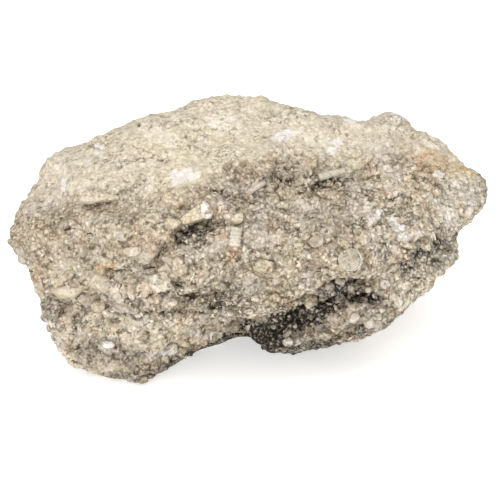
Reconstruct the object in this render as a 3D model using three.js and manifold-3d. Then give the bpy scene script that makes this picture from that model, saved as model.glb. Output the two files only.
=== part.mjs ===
// A hand-sized lump of bedded, fossil-rich phosphate rock, resting on one flat broken face.
//
// Units are millimetres and +Z is up. +X runs along the longest side, -Y faces the viewer, and the
// origin is the middle of the lump's footprint, on the surface that it rests on.
//
// The lump is one solid. It is built outwards from a point near its middle: every direction gets a
// reach, which is the nearest of the broken faces met that way, with the edges between them worn
// round. Hollows, crevices and bedding ledges are then taken off the reach, and the foot is cut flat.

import * as THREE from 'three';
import { ImprovedNoise } from 'three/addons/math/ImprovedNoise.js';
import { mergeVertices } from 'three/addons/utils/BufferGeometryUtils.js';
import Module from 'manifold-3d';

// ---------------------------------------------------------------- driving dimensions

const LENGTH = 130; // along X, tip to tip
const DEPTH = 75; // along Y
const HEIGHT = 64; // along Z, from the cut foot
const FOOT_DROP = 30; // from the middle point down to the cut foot, before the final sizing
const EDGE_WEAR = 1.3; // how far the edges between broken faces are worn round
const MESH_DETAIL = 18; // subdivisions of each of the 20 starting triangles

// The lump is laid out as a viewer sees it from the front and a little above: "across" is +X and
// "up" is square to the viewer's line of sight.
const VIEW_TILT = THREE.MathUtils.degToRad(28);
const ACROSS = new THREE.Vector3(1, 0, 0);
const UP = new THREE.Vector3(0, Math.sin(VIEW_TILT), Math.cos(VIEW_TILT));
const TOWARDS = new THREE.Vector3(0, -Math.cos(VIEW_TILT), Math.sin(VIEW_TILT));

// ---------------------------------------------------------------- broken faces

// Faces on the outline: the way each one looks, in degrees anticlockwise from ACROSS, and its
// distance from the middle point.
const RIM_FACES = [
  { name: 'nose tip', turn: 10, reach: 65 },
  { name: 'upper nose', turn: 44, reach: 54 },
  { name: 'right shoulder', turn: 62, reach: 48.6 },
  { name: 'long crest', turn: 77, reach: 34.6 },
  { name: 'left crest', turn: 101, reach: 41.4 },
  { name: 'left slope', turn: 113, reach: 38.4 },
  { name: 'left end, upper', turn: 151, reach: 53.4 },
  { name: 'left end, lower', turn: 202, reach: 57.8 },
  { name: 'left heel', turn: 222, reach: 57 },
  { name: 'front lobe, lower left', turn: 254, reach: 44.8 },
  { name: 'underside', turn: 282, reach: 33.6 },
  { name: 'right ledge, lower', turn: 303, reach: 38.4 },
  { name: 'right ledge, side', turn: 319, reach: 47 },
  { name: 'nose, below', turn: 331, reach: 56 },
];

// The other faces: heading in degrees anticlockwise from +X seen from above (-90 looks at the
// viewer), pitch in degrees above level, and distance from the middle point.
const FACES = [
  { name: 'top slab', heading: -102, pitch: 66, reach: 22.5 },
  { name: 'summit', heading: 80, pitch: 84, reach: 32.8 },
  { name: 'top slab, left', heading: -155, pitch: 58, reach: 33 },
  { name: 'top slab, right', heading: -62, pitch: 60, reach: 26 },
  { name: 'right brow', heading: -12, pitch: 52, reach: 49 },
  { name: 'front', heading: -93, pitch: 22, reach: 29 },
  { name: 'front lobe', heading: -118, pitch: 8, reach: 36 },
  { name: 'front lobe, left', heading: -152, pitch: 4, reach: 60 },
  { name: 'front right', heading: -62, pitch: 14, reach: 38 },
  { name: 'right cheek', heading: -28, pitch: 6, reach: 57 },
  { name: 'front, under', heading: -84, pitch: -28, reach: 33 },
  { name: 'crest, behind', heading: 103, pitch: 50, reach: 37 },
  { name: 'back', heading: 84, pitch: 4, reach: 37 },
  { name: 'back left', heading: 126, pitch: 16, reach: 50 },
  { name: 'back left, end', heading: 158, pitch: -14, reach: 56 },
  { name: 'back right', heading: 48, pitch: 2, reach: 53 },
  { name: 'back right, end', heading: 20, pitch: 22, reach: 63 },
  { name: 'back right, upper', heading: 64, pitch: 34, reach: 41 },
  { name: 'back, under', heading: 98, pitch: -26, reach: 36 },
  { name: 'back left, under', heading: 146, pitch: -24, reach: 47 },
  { name: 'back right, under', heading: 26, pitch: -44, reach: 40 },
];

// ---------------------------------------------------------------- hollows and ledges

// Hollows open along a line on the side that faces the viewer, under a lip. Points are
// [across, up], from left to right. Each hollow closes within "lip" above its line and within
// "floor" below it.
const HOLLOWS = [
  { name: 'undercut', line: [[-1, -27], [8, -23], [20, -16], [36, -13]], lip: 2.5, floor: 7.5, depth: 10 },
  { name: 'arch', line: [[-16, -32], [-8, -29], [-4, -28]], lip: 4, floor: 9, depth: 11 },
  { name: 'middle crevice', line: [[-26, -8], [-18, -2], [-9, 3]], lip: 2, floor: 5, depth: 2.6 },
  { name: 'nose notch', line: [[54, 0], [62, -1]], lip: 3.5, floor: 5, depth: 4.5 },
];

// Ledges are broken edges of beds on the same side: the bed above the line stands proud of the one
// below it. Points are [across, up], from left to right.
const LEDGES = [
  { name: 'left plate', line: [[-46, 9], [-38, 9.5], [-27, 16]], step: 2.2 },
  { name: 'main scarp', line: [[-22, 10], [-13, 7.5], [-8, 13], [7, 18], [27, 16], [36, 20]], step: 3 },
  { name: 'lower bed', line: [[-40, -16], [-24, -18], [0, -17]], step: 1.8 },
];
const LEDGE_FADE = 9; // how far from the line a ledge's step dies away
const LEDGE_ROUND = 1.2; // half the width of the step itself

// Broad dents broken out of the other sides: heading and pitch as for the faces, the dent's
// half-width as an angle in degrees, and its depth.
const DENTS = [
  { name: 'back hollow', heading: 100, pitch: 12, spread: 20, depth: 4.5 },
  { name: 'back right spall', heading: 44, pitch: 34, spread: 15, depth: 4 },
  { name: 'back left spall', heading: 132, pitch: -14, spread: 13, depth: 3.5 },
  { name: 'left end spall', heading: 172, pitch: -22, spread: 12, depth: 3 },
  { name: 'nose spall', heading: 8, pitch: -14, spread: 9, depth: 3 },
  { name: 'knob on the crest', heading: 29, pitch: 27, spread: 5, depth: -4.5 },
];

// Beds dip gently to the left. Each one stands proud at its foot and falls back to its top.
const BED_LEAN = THREE.MathUtils.degToRad(16);
const BED_NORMAL = new THREE.Vector3(-Math.sin(BED_LEAN), 0.1, Math.cos(BED_LEAN)).normalize();
const BED_THICKNESS = 9.5;
const BED_STEP = 1.5; // how far a bed's foot stands out
const BED_FOOT = 0.25; // the share of a bed's thickness that rises to its foot
const BED_MEAN = 0.4; // the mean of the stepped profile, taken off so that the beds add no size
const BED_STRENGTH = 0.6; // the mean strength of the steps, which come and go in patches

// Unevenness: how far apart its bumps are, how high they are, and which part of the noise it reads.
const SWELL = { spacing: 26, height: 2.2, shift: 0 };
const LUMPS = { spacing: 9, height: 1.1, shift: 3 };
const BED_WAVER = { spacing: 30, height: 3, shift: 5 };
const BED_PATCHES = { spacing: 22, height: 0.8, shift: 11 };

// ---------------------------------------------------------------- the surface

const noise = new ImprovedNoise();

/** Smooth unevenness at a point, from about -height to +height. */
function uneven(point, { spacing, height, shift }) {
  const s = 1 / spacing;
  return height * noise.noise(point.x * s + shift, point.y * s - shift, point.z * s + 2 * shift);
}

/** Unit vector from a heading and a pitch in degrees. */
function facing(heading, pitch) {
  const h = THREE.MathUtils.degToRad(heading);
  const p = THREE.MathUtils.degToRad(pitch);
  return new THREE.Vector3(Math.cos(p) * Math.cos(h), Math.cos(p) * Math.sin(h), Math.sin(p));
}

/** Unit vector square to the line of sight, at an angle in degrees from ACROSS towards UP. */
function facingOnRim(turn) {
  const t = THREE.MathUtils.degToRad(turn);
  return new THREE.Vector3().addScaledVector(ACROSS, Math.cos(t)).addScaledVector(UP, Math.sin(t));
}

const planes = [
  ...RIM_FACES.map(({ turn, reach }) => ({ normal: facingOnRim(turn), reach })),
  ...FACES.map(({ heading, pitch, reach }) => ({ normal: facing(heading, pitch), reach })),
];

/** Distance from the middle point to the worn broken faces, along a unit direction. */
function reachOfFaces(direction) {
  let sum = 0;
  for (const { normal, reach } of planes) {
    const slope = normal.dot(direction);
    if (slope > 0.01) {
      sum += Math.exp(-reach / slope / EDGE_WEAR);
    }
  }
  return -EDGE_WEAR * Math.log(sum);
}

/** Distance from a point to a run of straight segments, in the across-up plane. */
function distanceToLine(across, up, line) {
  const p = new THREE.Vector2(across, up);
  let nearest = Infinity;
  for (let i = 1; i < line.length; i += 1) {
    const a = new THREE.Vector2(...line[i - 1]);
    const b = new THREE.Vector2(...line[i]);
    const run = b.clone().sub(a);
    const t = THREE.MathUtils.clamp(p.clone().sub(a).dot(run) / run.lengthSq(), 0, 1);
    nearest = Math.min(nearest, p.distanceTo(a.addScaledVector(run, t)));
  }
  return nearest;
}

/** From 0 on the sides turned away from the viewer to 1 on the side that faces them. */
function frontness(point) {
  return THREE.MathUtils.smoothstep(point.dot(TOWARDS), -26, -12);
}

/** How high a line on the front is at a place across, or at its nearer end. */
function lineHeight(across, line) {
  for (let i = 1; i < line.length; i += 1) {
    const [x0, y0] = line[i - 1];
    const [x1, y1] = line[i];
    if (across < x1 || i === line.length - 1) {
      const t = THREE.MathUtils.clamp((across - x0) / (x1 - x0), 0, 1);
      return THREE.MathUtils.lerp(y0, y1, t);
    }
  }
  return line[0][1];
}

/** How much the hollows take off the reach at a point. */
function hollowDepth(point) {
  const across = point.dot(ACROSS);
  const up = point.dot(UP);
  let depth = 0;
  for (const { line, lip, floor, depth: full } of HOLLOWS) {
    const away = Math.max(distanceToLine(across, up, line), 0.001);
    const above = THREE.MathUtils.clamp((up - lineHeight(across, line)) / away, -1, 1);
    const width = THREE.MathUtils.lerp(floor, lip, (1 + above) / 2);
    depth += full * Math.exp(-((away / width) ** 2));
  }
  return depth * frontness(point);
}

/** How much the ledges move the surface in or out at a point. */
function ledgeStep(point) {
  const across = point.dot(ACROSS);
  const up = point.dot(UP);
  let out = 0;
  for (const { line, step } of LEDGES) {
    const above = up - lineHeight(across, line);
    const side = 2 * THREE.MathUtils.smoothstep(above, -LEDGE_ROUND, LEDGE_ROUND) - 1;
    out += 0.5 * step * side * Math.exp(-distanceToLine(across, up, line) / LEDGE_FADE);
  }
  return out * frontness(point);
}

/** How much the dents take off the reach along a direction. */
function dentDepth(direction) {
  let depth = 0;
  for (const dent of DENTS) {
    const angle = direction.angleTo(facing(dent.heading, dent.pitch));
    depth += dent.depth * Math.exp(-((angle / THREE.MathUtils.degToRad(dent.spread)) ** 2));
  }
  return depth;
}

/** How much the bedding moves the surface in or out at a point. */
function bedStep(point) {
  const bed = (point.dot(BED_NORMAL) + uneven(point, BED_WAVER)) / BED_THICKNESS;
  const withinBed = bed - Math.floor(bed);
  const foot = THREE.MathUtils.smoothstep(withinBed, 0, BED_FOOT);
  const strength = BED_STRENGTH + uneven(point, BED_PATCHES);
  return BED_STEP * strength * (foot - withinBed - BED_MEAN);
}

/** The surface point of the lump along a direction, from its middle point. */
function surfacePoint(direction) {
  const point = direction.clone().multiplyScalar(reachOfFaces(direction));
  const roughness = uneven(point, SWELL) + uneven(point, LUMPS);
  const steps = bedStep(point) + ledgeStep(point);
  const losses = hollowDepth(point) + dentDepth(direction);
  return point.addScaledVector(direction, roughness + steps - losses);
}

/** The whole closed surface, before the foot is cut. */
function lumpGeometry() {
  let geometry = new THREE.IcosahedronGeometry(1, MESH_DETAIL);
  geometry.deleteAttribute('normal');
  geometry.deleteAttribute('uv');
  geometry = mergeVertices(geometry);
  const position = geometry.getAttribute('position');
  const direction = new THREE.Vector3();
  for (let i = 0; i < position.count; i += 1) {
    direction.fromBufferAttribute(position, i);
    direction.multiply(new THREE.Vector3(LENGTH, DEPTH, HEIGHT)).normalize();
    const point = surfacePoint(direction);
    position.setXYZ(i, point.x, point.y, point.z);
  }
  return geometry;
}

// ---------------------------------------------------------------- cutting the foot

const wasm = await Module();
wasm.setup();

/** A manifold-3d solid from a closed three.js geometry. */
function toSolid(geometry) {
  const bare = geometry.clone();
  bare.deleteAttribute('normal');
  bare.deleteAttribute('uv');
  const merged = mergeVertices(bare);
  return new wasm.Manifold(new wasm.Mesh({
    numProp: 3,
    vertProperties: new Float32Array(merged.getAttribute('position').array),
    triVerts: new Uint32Array(merged.getIndex().array),
  }));
}

/** A three.js geometry from a manifold-3d solid. */
function toGeometry(solid) {
  const { vertProperties, triVerts } = solid.getMesh();
  const geometry = new THREE.BufferGeometry();
  geometry.setAttribute('position', new THREE.BufferAttribute(vertProperties, 3));
  geometry.setIndex(new THREE.BufferAttribute(triVerts, 1));
  geometry.computeVertexNormals();
  return geometry;
}

/** The block that is cut away below the foot. */
function blockBelowFoot() {
  const block = new THREE.BoxGeometry(2 * LENGTH, 2 * DEPTH, HEIGHT);
  return block.translate(0, 0, -FOOT_DROP - HEIGHT / 2);
}

/** The finished lump at its full size, on its cut foot, with the origin under its middle. */
function rockGeometry() {
  const geometry = toGeometry(toSolid(lumpGeometry()).subtract(toSolid(blockBelowFoot())));
  geometry.computeBoundingBox();
  const { min, max } = geometry.boundingBox;
  geometry.translate(-(min.x + max.x) / 2, -(min.y + max.y) / 2, -min.z);
  return geometry.scale(LENGTH / (max.x - min.x), DEPTH / (max.y - min.y), HEIGHT / (max.z - min.z));
}

// ---------------------------------------------------------------- the object

const stone = new THREE.MeshStandardMaterial({ color: 0xc2b59f, roughness: 0.92, metalness: 0 });

const rock = new THREE.Mesh(rockGeometry(), stone);
rock.name = 'phosphate_rock';

const group = new THREE.Group();
group.add(rock);

export default group;
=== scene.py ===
"""Looks of a hand-sized lump of bedded, fossil-rich phosphate rock.

The lump is one stone. Its body is refined from the frame's solid. Its grains, pebbles, broken blocks,
sea-lily stems, shell bits and chalk chips are joined meshes sunk into the body's surface. Lengths are
in millimetres until a mesh or a light is made, which is in metres. Places on the front are given as
across and up, in millimetres from the viewer's centre.
"""

import logging
import math
from dataclasses import dataclass, field
from enum import Enum

import bmesh
import bpy
import numpy as np
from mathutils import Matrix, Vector
from mathutils.bvhtree import BVHTree
from mathutils.kdtree import KDTree


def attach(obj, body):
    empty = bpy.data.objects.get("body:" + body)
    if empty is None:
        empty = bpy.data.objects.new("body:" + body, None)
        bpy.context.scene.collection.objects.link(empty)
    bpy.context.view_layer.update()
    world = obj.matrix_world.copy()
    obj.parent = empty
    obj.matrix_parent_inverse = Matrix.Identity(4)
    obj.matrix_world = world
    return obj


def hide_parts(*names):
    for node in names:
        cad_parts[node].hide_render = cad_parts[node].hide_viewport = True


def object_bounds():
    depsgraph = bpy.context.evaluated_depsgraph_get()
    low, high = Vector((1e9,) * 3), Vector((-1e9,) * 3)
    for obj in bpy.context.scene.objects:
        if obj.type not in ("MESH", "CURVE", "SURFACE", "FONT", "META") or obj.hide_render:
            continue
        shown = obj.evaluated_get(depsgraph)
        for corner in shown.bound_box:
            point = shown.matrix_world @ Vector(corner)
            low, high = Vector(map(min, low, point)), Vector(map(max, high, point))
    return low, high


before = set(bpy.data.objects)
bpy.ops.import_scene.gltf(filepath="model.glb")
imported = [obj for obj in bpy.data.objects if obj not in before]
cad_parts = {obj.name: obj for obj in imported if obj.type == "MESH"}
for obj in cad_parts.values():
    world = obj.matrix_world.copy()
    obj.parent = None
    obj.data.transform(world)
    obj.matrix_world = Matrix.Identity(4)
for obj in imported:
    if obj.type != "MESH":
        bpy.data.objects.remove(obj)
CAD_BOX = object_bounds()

log = logging.getLogger("phosphate_rock")

NODE = "phosphate_rock"
BODY = "root"
BAKE_MAP = "OFBake"
MM = 0.001
SEED = 1205
GOLDEN_TURN = math.pi * (3 - math.sqrt(5))

Array = np.ndarray
Line = tuple[tuple[float, float], ...]
Marks = dict[str, Array]
Chance = np.random.Generator
Colour = tuple[float, float, float, float]
Socket = bpy.types.NodeSocket
Value = Socket | float | tuple[float, ...]
Sockets = bpy.types.bpy_prop_collection
Tree = bpy.types.NodeTree


# ---- noise and small sums


class Noise:
    """Smooth noise in space that is the same in every run, for whole arrays of points at once."""

    GAIN = 1.6
    LAYER_SHIFT = 17.3

    def __init__(self, seed: int) -> None:
        """Makes the tables.

        Args:
            seed: picks one noise out of many.
        """
        rng = np.random.default_rng(seed)
        self.order = np.tile(rng.permutation(256), 3)
        slopes = rng.normal(size=(256, 3))
        self.slopes = slopes / np.linalg.norm(slopes, axis=1, keepdims=True)
        self.places = rng.random((256, 3))

    def _index(self, cell: Array) -> Array:
        """A table row for each lattice cell."""
        x, y, z = (cell & 255).T
        return self.order[self.order[self.order[x] + y] + z]

    def __call__(self, points: Array, spacing: float) -> Array:
        """Gradient noise.

        Args:
            points: one row for each point, mm.
            spacing: distance between bumps, mm.

        Returns:
            Values from about -1 to 1.
        """
        scaled = points / spacing
        cell = np.floor(scaled).astype(int)
        part = scaled - cell
        ease = part * part * part * (part * (part * 6 - 15) + 10)
        total = np.zeros(len(points))
        for corner in np.ndindex(2, 2, 2):
            slope = self.slopes[self._index(cell + corner)]
            weight = np.where(corner, ease, 1 - ease).prod(axis=1)
            total += weight * (slope * (part - corner)).sum(axis=1)
        return total * self.GAIN

    def layered(self, points: Array, spacing: float, octaves: int) -> Array:
        """Noise with finer, weaker noise on top, from about -1 to 1."""
        layers = ((points + self.LAYER_SHIFT * n, 2**n) for n in range(octaves))
        return sum(self(moved, spacing / finer) / finer for moved, finer in layers) / self.GAIN

    def cells(self, points: Array, spacing: float) -> tuple[Array, Array, Array]:
        """Distances to scattered seeds, about one seed for each cube of the spacing.

        Args:
            points: one row for each point, mm.
            spacing: distance between seeds, mm.

        Returns:
            The distance to the nearest seed in spacings, how much further the next one is, and a
            number from 0 to 1 that the nearest seed has.
        """
        scaled = points / spacing
        cell = np.floor(scaled).astype(int)
        near = np.full(len(points), 9.0)
        later = np.full(len(points), 9.0)
        own = np.zeros(len(points))
        for step in np.ndindex(3, 3, 3):
            other = cell + np.array(step) - 1
            row = self._index(other)
            away = np.linalg.norm(other + self.places[row] - scaled, axis=1)
            own = np.where(away < near, row / 255, own)
            later = np.minimum(later, np.maximum(near, away))
            near = np.minimum(near, away)
        return near, later - near, own


def table(kind: type, *rows: tuple) -> tuple:
    """Things of one kind, each made from a row of its values in their order."""
    return tuple(kind(*row) for row in rows)


def smoothstep(low: float, high: float, value: Array) -> Array:
    """0 below low, 1 above high and an even curve between them."""
    t = np.clip((value - low) / (high - low), 0, 1)
    return t * t * (3 - 2 * t)


def unit(vectors: Array) -> Array:
    """Each row at length one."""
    return vectors / np.maximum(np.linalg.norm(vectors, axis=-1, keepdims=True), 1e-12)


def read_rows(items: bpy.types.bpy_prop_collection, name: str) -> Array:
    """One row of numbers for each item of a mesh."""
    return np.array([getattr(item, name) for item in items], float)


def find_tree(points: Array) -> KDTree:
    """Sorts points so that the nearest of them are found fast.

    Args:
        points: one row for each, mm.

    Returns:
        The tree they are in.
    """
    tree = KDTree(len(points))
    for i, point in enumerate(points):
        tree.insert(point, i)
    tree.balance()
    return tree


def from_line(places: Array, line: Line) -> tuple[Array, Array]:
    """How far places on the front are from a line, and how far above it.

    Args:
        places: one row of across and up for each place, mm.
        line: the line's points, from left to right.

    Returns:
        The distance, and the height above the line at the same place across.
    """
    points = np.array(line)
    nearest = np.full(len(places), 1e9)
    for a, b in zip(points[:-1], points[1:], strict=True):
        run = b - a
        t = np.clip((places - a) @ run / (run @ run), 0, 1)
        nearest = np.minimum(nearest, np.linalg.norm(places - a - t[:, None] * run, axis=1))
    return nearest, places[:, 1] - np.interp(places[:, 0], points[:, 0], points[:, 1])


# ---- the viewer


@dataclass(frozen=True)
class Viewer:
    """Where the lump is seen from.

    Attributes:
        middle: the middle of the lump, mm.
        under: how far under it the viewer looks, mm.
        tilt_deg: how far down the viewer looks.
        distance: from the eye to the point looked at, mm.
    """

    middle: Array
    under: float = 1.9
    tilt_deg: float = 28.0
    distance: float = 700.0

    @property
    def up(self) -> Array:
        """Square to the line of sight, upwards."""
        tilt = math.radians(self.tilt_deg)
        return np.array([0.0, math.sin(tilt), math.cos(tilt)])

    @property
    def towards(self) -> Array:
        """From the lump to the viewer."""
        tilt = math.radians(self.tilt_deg)
        return np.array([0.0, -math.cos(tilt), math.sin(tilt)])

    @property
    def centre(self) -> Array:
        """The point looked at, mm."""
        return self.middle - self.under * self.up

    @property
    def eye(self) -> Array:
        """The viewer's place, mm."""
        return self.centre + self.distance * self.towards

    def spot(self, across: float, up: float) -> Array:
        """A point on the plane through the centre that faces the viewer, mm."""
        return self.centre + np.array([across, 0.0, 0.0]) + up * self.up

    def places(self, points: Array) -> Array:
        """Where points are seen against the plane that faces the viewer.

        Args:
            points: one row for each, mm.

        Returns:
            One row of across and up for each, mm.
        """
        sight = points - self.eye
        scale = self.distance / -(sight @ self.towards)
        seen = self.eye + sight * scale[:, None] - self.centre
        return np.stack([seen[:, 0], seen @ self.up], axis=1)

    def facing(self, ways: Array, low: float = 0.0, high: float = 0.25) -> Array:
        """How much each way faces the viewer: 0 at the low cosine, 1 at the high one."""
        return smoothstep(low, high, ways @ self.towards)

    def edge_on(self, ways: Array, low: float = 0.5, high: float = 0.2) -> Array:
        """How much each way is square to the line of sight, from the low cosine to the high."""
        return smoothstep(low, high, np.abs(ways @ self.towards))


# ---- small shapes and their copies


@dataclass
class Pattern:
    """A small closed shape of about one unit in radius that is copied many times.

    Attributes:
        points: its corners. +Z points out of the stone unless the shape lies on its side.
        faces: corner numbers of its triangles.
        bake: where each corner of each triangle lies in a bake map, 0 to 1.
        rise: how far each corner is from the buried side, 0 to 1.
    """

    points: Array
    faces: Array
    bake: Array
    rise: Array

    BAKE_REACH = 0.47
    BREAKS_AT = (0.5, 0.95)
    FARTHEST = 1.12
    LEAST_COSINE = 0.05

    @classmethod
    def lump(cls, rng: Chance, size: int, breaks: int, wobble: float) -> "Pattern":
        """A grain with a few broken faces.

        Args:
            rng: the source of chance.
            size: how many corners it has. There are about twice as many triangles.
            breaks: how many broken faces it has.
            wobble: how much its corners stray.

        Returns:
            The shape.
        """
        heights = np.linspace(1, -1, size)
        turns = GOLDEN_TURN * np.arange(size)
        flats = np.sqrt(1 - heights**2)
        directions = np.stack([flats * np.cos(turns), flats * np.sin(turns), heights], axis=1)
        bm = bmesh.new()
        for direction in directions:
            bm.verts.new(direction)
        bm.verts.index_update()
        bmesh.ops.convex_hull(bm, input=bm.verts[:])
        bmesh.ops.recalc_face_normals(bm, faces=bm.faces[:])
        faces = np.array([[v.index for v in f.verts] for f in bm.faces])
        bm.free()
        planes = unit(rng.normal(size=(breaks, 3)))
        reach = rng.uniform(*cls.BREAKS_AT, breaks)
        cosines = np.maximum(directions @ planes.T, cls.LEAST_COSINE)
        reaches = np.minimum((reach / cosines).min(axis=1), cls.FARTHEST)
        reaches = reaches * (1 + wobble * rng.uniform(-1, 1, len(directions)))
        points = directions * reaches[:, None]
        corners = directions[faces]
        middle = corners.mean(axis=1, keepdims=True)
        flat = np.linalg.norm(corners[:, :, :2], axis=2, keepdims=True)
        around = unit(np.where(flat < 1e-6, middle[:, :, :2], corners[:, :, :2]))
        fall = np.arccos(np.clip(corners[:, :, 2], -1, 1)) / math.pi
        bake = 0.5 + cls.BAKE_REACH * around * fall[:, :, None]
        return cls(points, faces, bake, (directions[:, 2] + 1) / 2)

    @classmethod
    def turned(cls, profile: Line, around: int, on_its_side: bool = False) -> "Pattern":
        """A shape turned about Z, from its top to its bottom.

        Args:
            profile: radius and height of each ring, with a radius of 0 at both ends.
            around: the number of corners in a ring.
            on_its_side: whether it lies with +X out of the stone.

        Returns:
            The shape.
        """
        rings = np.array(profile)
        last = len(rings) - 1
        angles = np.arange(around) * 2 * math.pi / around
        circle = np.stack([np.cos(angles), np.sin(angles)], axis=1)
        spread = np.cumsum(np.linalg.norm(np.diff(rings, axis=0), axis=1))
        spread = np.concatenate([[0], spread]) / spread[-1]
        laps = [np.column_stack([circle * out, np.full(around, height)]) for out, height in rings]
        points = np.concatenate([laps[0][:1], *laps[1:-1], laps[-1][:1]])
        triangles = []
        for k, ring in np.ndindex(around, last):
            here, below, beside, across = (ring, k), (ring + 1, k), (ring, k + 1), (ring + 1, k + 1)
            if ring + 1 < last:
                triangles.append((here, below, across))
            if ring:
                triangles.append((here, across if ring + 1 < last else below, beside))

        def number(ring: int, k: int) -> int:
            """A corner's number."""
            return min(max(1 + (ring - 1) * around + k % around, 0), len(points) - 1)

        def laid(ring: int, k: int) -> tuple[float, float]:
            """A corner's place in the bake map."""
            turn, out = k * 2 * math.pi / around, cls.BAKE_REACH * spread[ring]
            return 0.5 + out * math.cos(turn), 0.5 + out * math.sin(turn)

        faces = np.array([[number(*corner) for corner in corners] for corners in triangles])
        bake = np.array([[laid(*corner) for corner in corners] for corners in triangles])
        height = points[:, 0] if on_its_side else points[:, 2]
        return cls(points, faces, bake, (height - height.min()) / np.ptp(height))

    def bent(self, change: Array) -> "Pattern":
        """The same shape with its corners moved by a change for each."""
        return Pattern(self.points + change, self.faces, self.bake, self.rise)


@dataclass
class Spots:
    """Places on the stone's surface.

    Attributes:
        points: where they are, mm.
        normals: the way out of the stone there.
        marks: the body's named numbers there.
    """

    points: Array
    normals: Array
    marks: Marks

    def __len__(self) -> int:
        """How many places there are."""
        return len(self.points)

    def take(self, which: Array) -> "Spots":
        """Some of the places."""
        marks = {name: values[which] for name, values in self.marks.items()}
        return Spots(self.points[which], self.normals[which], marks)


@dataclass
class Copies:
    """Copies of one pattern, ready to be joined into a piece.

    Attributes:
        pattern: the shape.
        origins: their middles, mm.
        frames: their own X, Y and Z axes as rows, with lengths that scale the pattern, mm.
        marks: named numbers, one for each copy.
    """

    pattern: Pattern
    origins: Array
    frames: Array
    marks: Marks


def turned_frames(outwards: Array, spins: Array) -> Array:
    """Square axes whose Z points outwards.

    Args:
        outwards: a direction for each.
        spins: how far each is turned about it, in radians. At 0, Y is as upright as it can be.

    Returns:
        Unit X, Y and Z axes as rows, one set for each.
    """
    z = unit(outwards)
    helper = np.where(np.abs(z[:, 2:3]) > 0.97, [[0.0, 1.0, 0.0]], [[0.0, 0.0, 1.0]])
    x = unit(np.cross(helper, z))
    y = np.cross(z, x)
    c, s = np.cos(spins)[:, None], np.sin(spins)[:, None]
    return np.stack([c * x + s * y, c * y - s * x, z], axis=1)


def make_mesh(
    name: str, points: Array, faces: Array, bake: Array, marks: Marks, smooth: bool
) -> bpy.types.Object:
    """A mesh object from arrays.

    Args:
        name: the piece's name.
        points: corners, mm.
        faces: corner numbers, one row for each face.
        bake: a place in the bake map for each corner of each face.
        marks: named numbers, one for each corner, that the finish reads.
        smooth: whether it is shaded smooth.

    Returns:
        The new object, linked to the scene.
    """
    mesh = bpy.data.meshes.new(name)
    mesh.from_pydata(points * MM, [], faces)
    mesh.uv_layers.new(name=BAKE_MAP).uv.foreach_set("vector", bake.astype(np.float32).ravel())
    for mark, values in marks.items():
        layer = mesh.attributes.new(mark, "FLOAT", "POINT")
        layer.data.foreach_set("value", values.astype(np.float32))
    mesh.polygons.foreach_set("use_smooth", np.full(len(faces), smooth))
    mesh.update()
    piece = bpy.data.objects.new(name, mesh)
    bpy.context.collection.objects.link(piece)
    return piece


def join_copies(name: str, groups: list[Copies], smooth: bool) -> bpy.types.Object:
    """One mesh of many copies, each with a square of its own in the bake map.

    Args:
        name: the piece's name.
        groups: what to join.
        smooth: whether it is shaded smooth.

    Returns:
        The new object.
    """
    side = math.ceil(math.sqrt(sum(len(group.origins) for group in groups)))
    points, faces, bakes = [], [], []
    marks: dict[str, list[Array]] = {mark: [] for mark in (*groups[0].marks, "rise")}
    used = corners = 0
    for group in groups:
        copies = len(group.origins)
        size = len(group.pattern.points)
        placed = np.einsum("vk,ckj->cvj", group.pattern.points, group.frames)
        points.append((placed + group.origins[:, None]).reshape(-1, 3))
        starts = corners + size * np.arange(copies)
        faces.append((group.pattern.faces[None] + starts[:, None, None]).reshape(-1, 3))
        number = used + np.arange(copies)
        square = np.stack([number % side, number // side], axis=1)[:, None, None]
        bakes.append(((group.pattern.bake[None] + square) / side).reshape(-1, 2))
        for mark, values in group.marks.items():
            marks[mark].append(np.repeat(values, size))
        marks["rise"].append(np.tile(group.pattern.rise, copies))
        used += copies
        corners += copies * size
    joined = {mark: np.concatenate(values) for mark, values in marks.items()}
    return make_mesh(
        name, np.concatenate(points), np.concatenate(faces), np.concatenate(bakes), joined, smooth
    )


def finish_piece(piece: bpy.types.Object, material: bpy.types.Material) -> None:
    """Gives a piece its material and its body, and reports it.

    Args:
        piece: the finished mesh object.
        material: its finish.
    """
    piece.data.materials.append(material)
    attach(piece, BODY)
    log.info("%s: %d faces", piece.name, len(piece.data.polygons))


# ---- finishes


def shown(red: int, green: int, blue: int) -> Colour:
    """A colour as it is on a screen, 0 to 255, in the linear form that nodes use."""
    parts = (c / 255 for c in (red, green, blue))
    return (*(c / 12.92 if c <= 0.04045 else ((c + 0.055) / 1.055) ** 2.4 for c in parts), 1.0)


# Painted shade, for pores, cracks and seams.
CREVICE_SHADE = shown(66, 52, 35)
# Pale dust, which also stands in for light from above on upward faces.
DUST_AND_TOP_LIGHT = shown(236, 226, 206)
CHALK_WHITE = shown(226, 220, 214)
BLEACHED = shown(231, 223, 214)
STUCK_SAND = (shown(134, 119, 96), shown(214, 201, 178))
STUCK_SAND_SIZE = 0.75
YELLOW_TINT = (0.96, 0.95, 0.75, 1)
PINK_TINT = (1.0, 0.89, 0.83, 1)
GREY_TINT = (0.86, 0.88, 0.92, 1)
OLIVE_TINT = (0.86, 0.89, 0.82, 1)
RUST_TINT = (0.95, 0.68, 0.42, 1)
# The next two paint shade: a cooler tint and a near-black tint for the deepest shade.
SHADE_COOL_TINT = (0.94, 1.0, 1.07, 1)
PAINTED_SHADE_TINT = (0.055, 0.044, 0.03, 1)


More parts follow.
